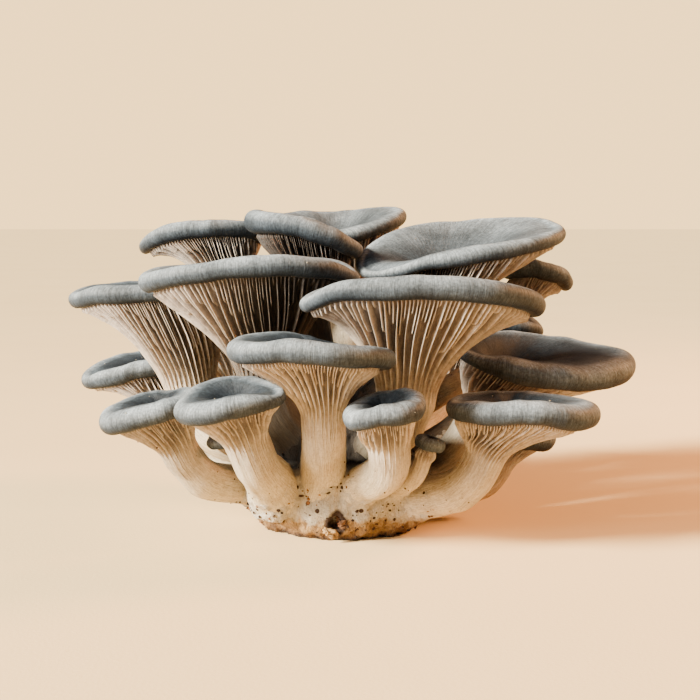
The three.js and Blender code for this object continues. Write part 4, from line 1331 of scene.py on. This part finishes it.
barks = [bark_material("pale_bark", 0.75), bark_material("bark", 0.0), bark_material("brown_bark", 0.2)]
chips = [make_chip(name, chip, bark, 200 + k)
         for k, ((name, chip), bark) in enumerate(zip(CHIPS.items(), barks))]
print("chips:", len(chips))

# %% [markdown]
# ## Crumbs and flecks
# More than a thousand crumbs of the block are stuck in the felt and on the lower stems, and bits of
# felt on the caps. They are so small that a ball of twenty faces, squashed and shaken, is enough.
# Each sits at a point of the skin, picked at random, but more often where more are wanted.

# %% Crumbs
CRUMBS = 1300
CRUMB_SIZE = (0.16, 0.80)  # mm, smallest and largest radius
STEM_CRUMBS = 420
STEM_CRUMB_SIZE = (0.12, 0.45)
FLECKS = 90  # bits of felt on the caps
FLECK_SIZE = (0.12, 0.30)
MOSTLY_SMALL = 2.2  # power that makes most sizes small
SQUASH, SHAKE = (0.5, 1.2), (0.8, 1.2)  # factors for a whole ball and for each of its points
STAND_OFF = 0.05  # mm, from the skin to the middle of a ball
CLUMPS = ((0.8, 14, 8),)  # strength, length in mm and seed of the crowding
EVEN_SHARE, LEAST_SHARE = 0.45, 0.05  # crumbs that are spread evenly, and the fewest anywhere
CRUMB_HEIGHTS = ((1.4, 0), (1.5, 1), (18, 1), (26, 0.2), (44, 0.05), (45, 0))  # mm, and the odds
ON_SIDES = 0.25  # added to how far a skin faces up, so that steep sides get a few flecks too


def crumb_material():
    material, tree, shader = new_material("crumb", Roughness=0.8, Specular_IOR_Level=0.3)
    colour = ramp(tree, noise(tree, place_on(tree), 170, 2, 0.5), [
        (0.30, (0.012, 0.006, 0.004)), (0.55, (0.035, 0.016, 0.008)), (0.62, (0.20, 0.075, 0.02)),
        (0.72, (0.30, 0.19, 0.10))])
    tree.links.new(colour, shader.inputs["Base Color"])
    return material


def scatter(name, grounds, wanted, count, sizes, material, slot, seed):
    """Small squashed balls on some pieces, more of them where more are wanted."""
    rng = np.random.default_rng(seed)
    at, normal = (np.concatenate([read(ground.data, what, 3) for ground in grounds])
                  for what in ("co", "normal"))
    odds = wanted(at, normal)
    bm = bmesh.new()
    for spot in rng.choice(len(at), count, replace=False, p=odds / odds.sum()):
        radius = mix(*sizes, rng.random() ** MOSTLY_SMALL) * MM
        made = bmesh.ops.create_icosphere(bm, subdivisions=1, radius=radius)["verts"]
        squash = rng.uniform(*SQUASH, 3)
        for vert in made:
            shaken = np.array(vert.co) * squash * rng.uniform(*SHAKE)
            vert.co = shaken + (at[spot] + normal[spot] * STAND_OFF) * MM
    return place(mesh_from(bm, name), material, slot)


def low_and_clumped(at, _):
    """Odds that are high on the butt, fall off up the stems, and come in clumps."""
    clumps = np.clip(EVEN_SHARE + lumps(at, CLUMPS), LEAST_SHARE, None)
    return np.interp(at[:, 2], *zip(*CRUMB_HEIGHTS)) * clumps


def on_top(_, normal):
    """Odds that are high where the skin faces up."""
    return np.clip(normal[:, 2] + ON_SIDES, 0, 1)


crumb = crumb_material()
scatter("crumbs", [butt], low_and_clumped, CRUMBS, CRUMB_SIZE, crumb, "wood", 7)
scatter("stem_crumbs", stalks, low_and_clumped, STEM_CRUMBS, STEM_CRUMB_SIZE, crumb, "wood", 9)
scatter("flecks", caps, on_top, FLECKS, FLECK_SIZE, butt.data.materials[0], "butt", 8)
print("crumbs and flecks:", CRUMBS + STEM_CRUMBS + FLECKS)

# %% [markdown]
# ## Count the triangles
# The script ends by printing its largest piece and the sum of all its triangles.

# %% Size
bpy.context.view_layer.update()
print("largest piece:", max(triangles, key=triangles.get), max(triangles.values()))
print("all triangles:", sum(triangles.values()))
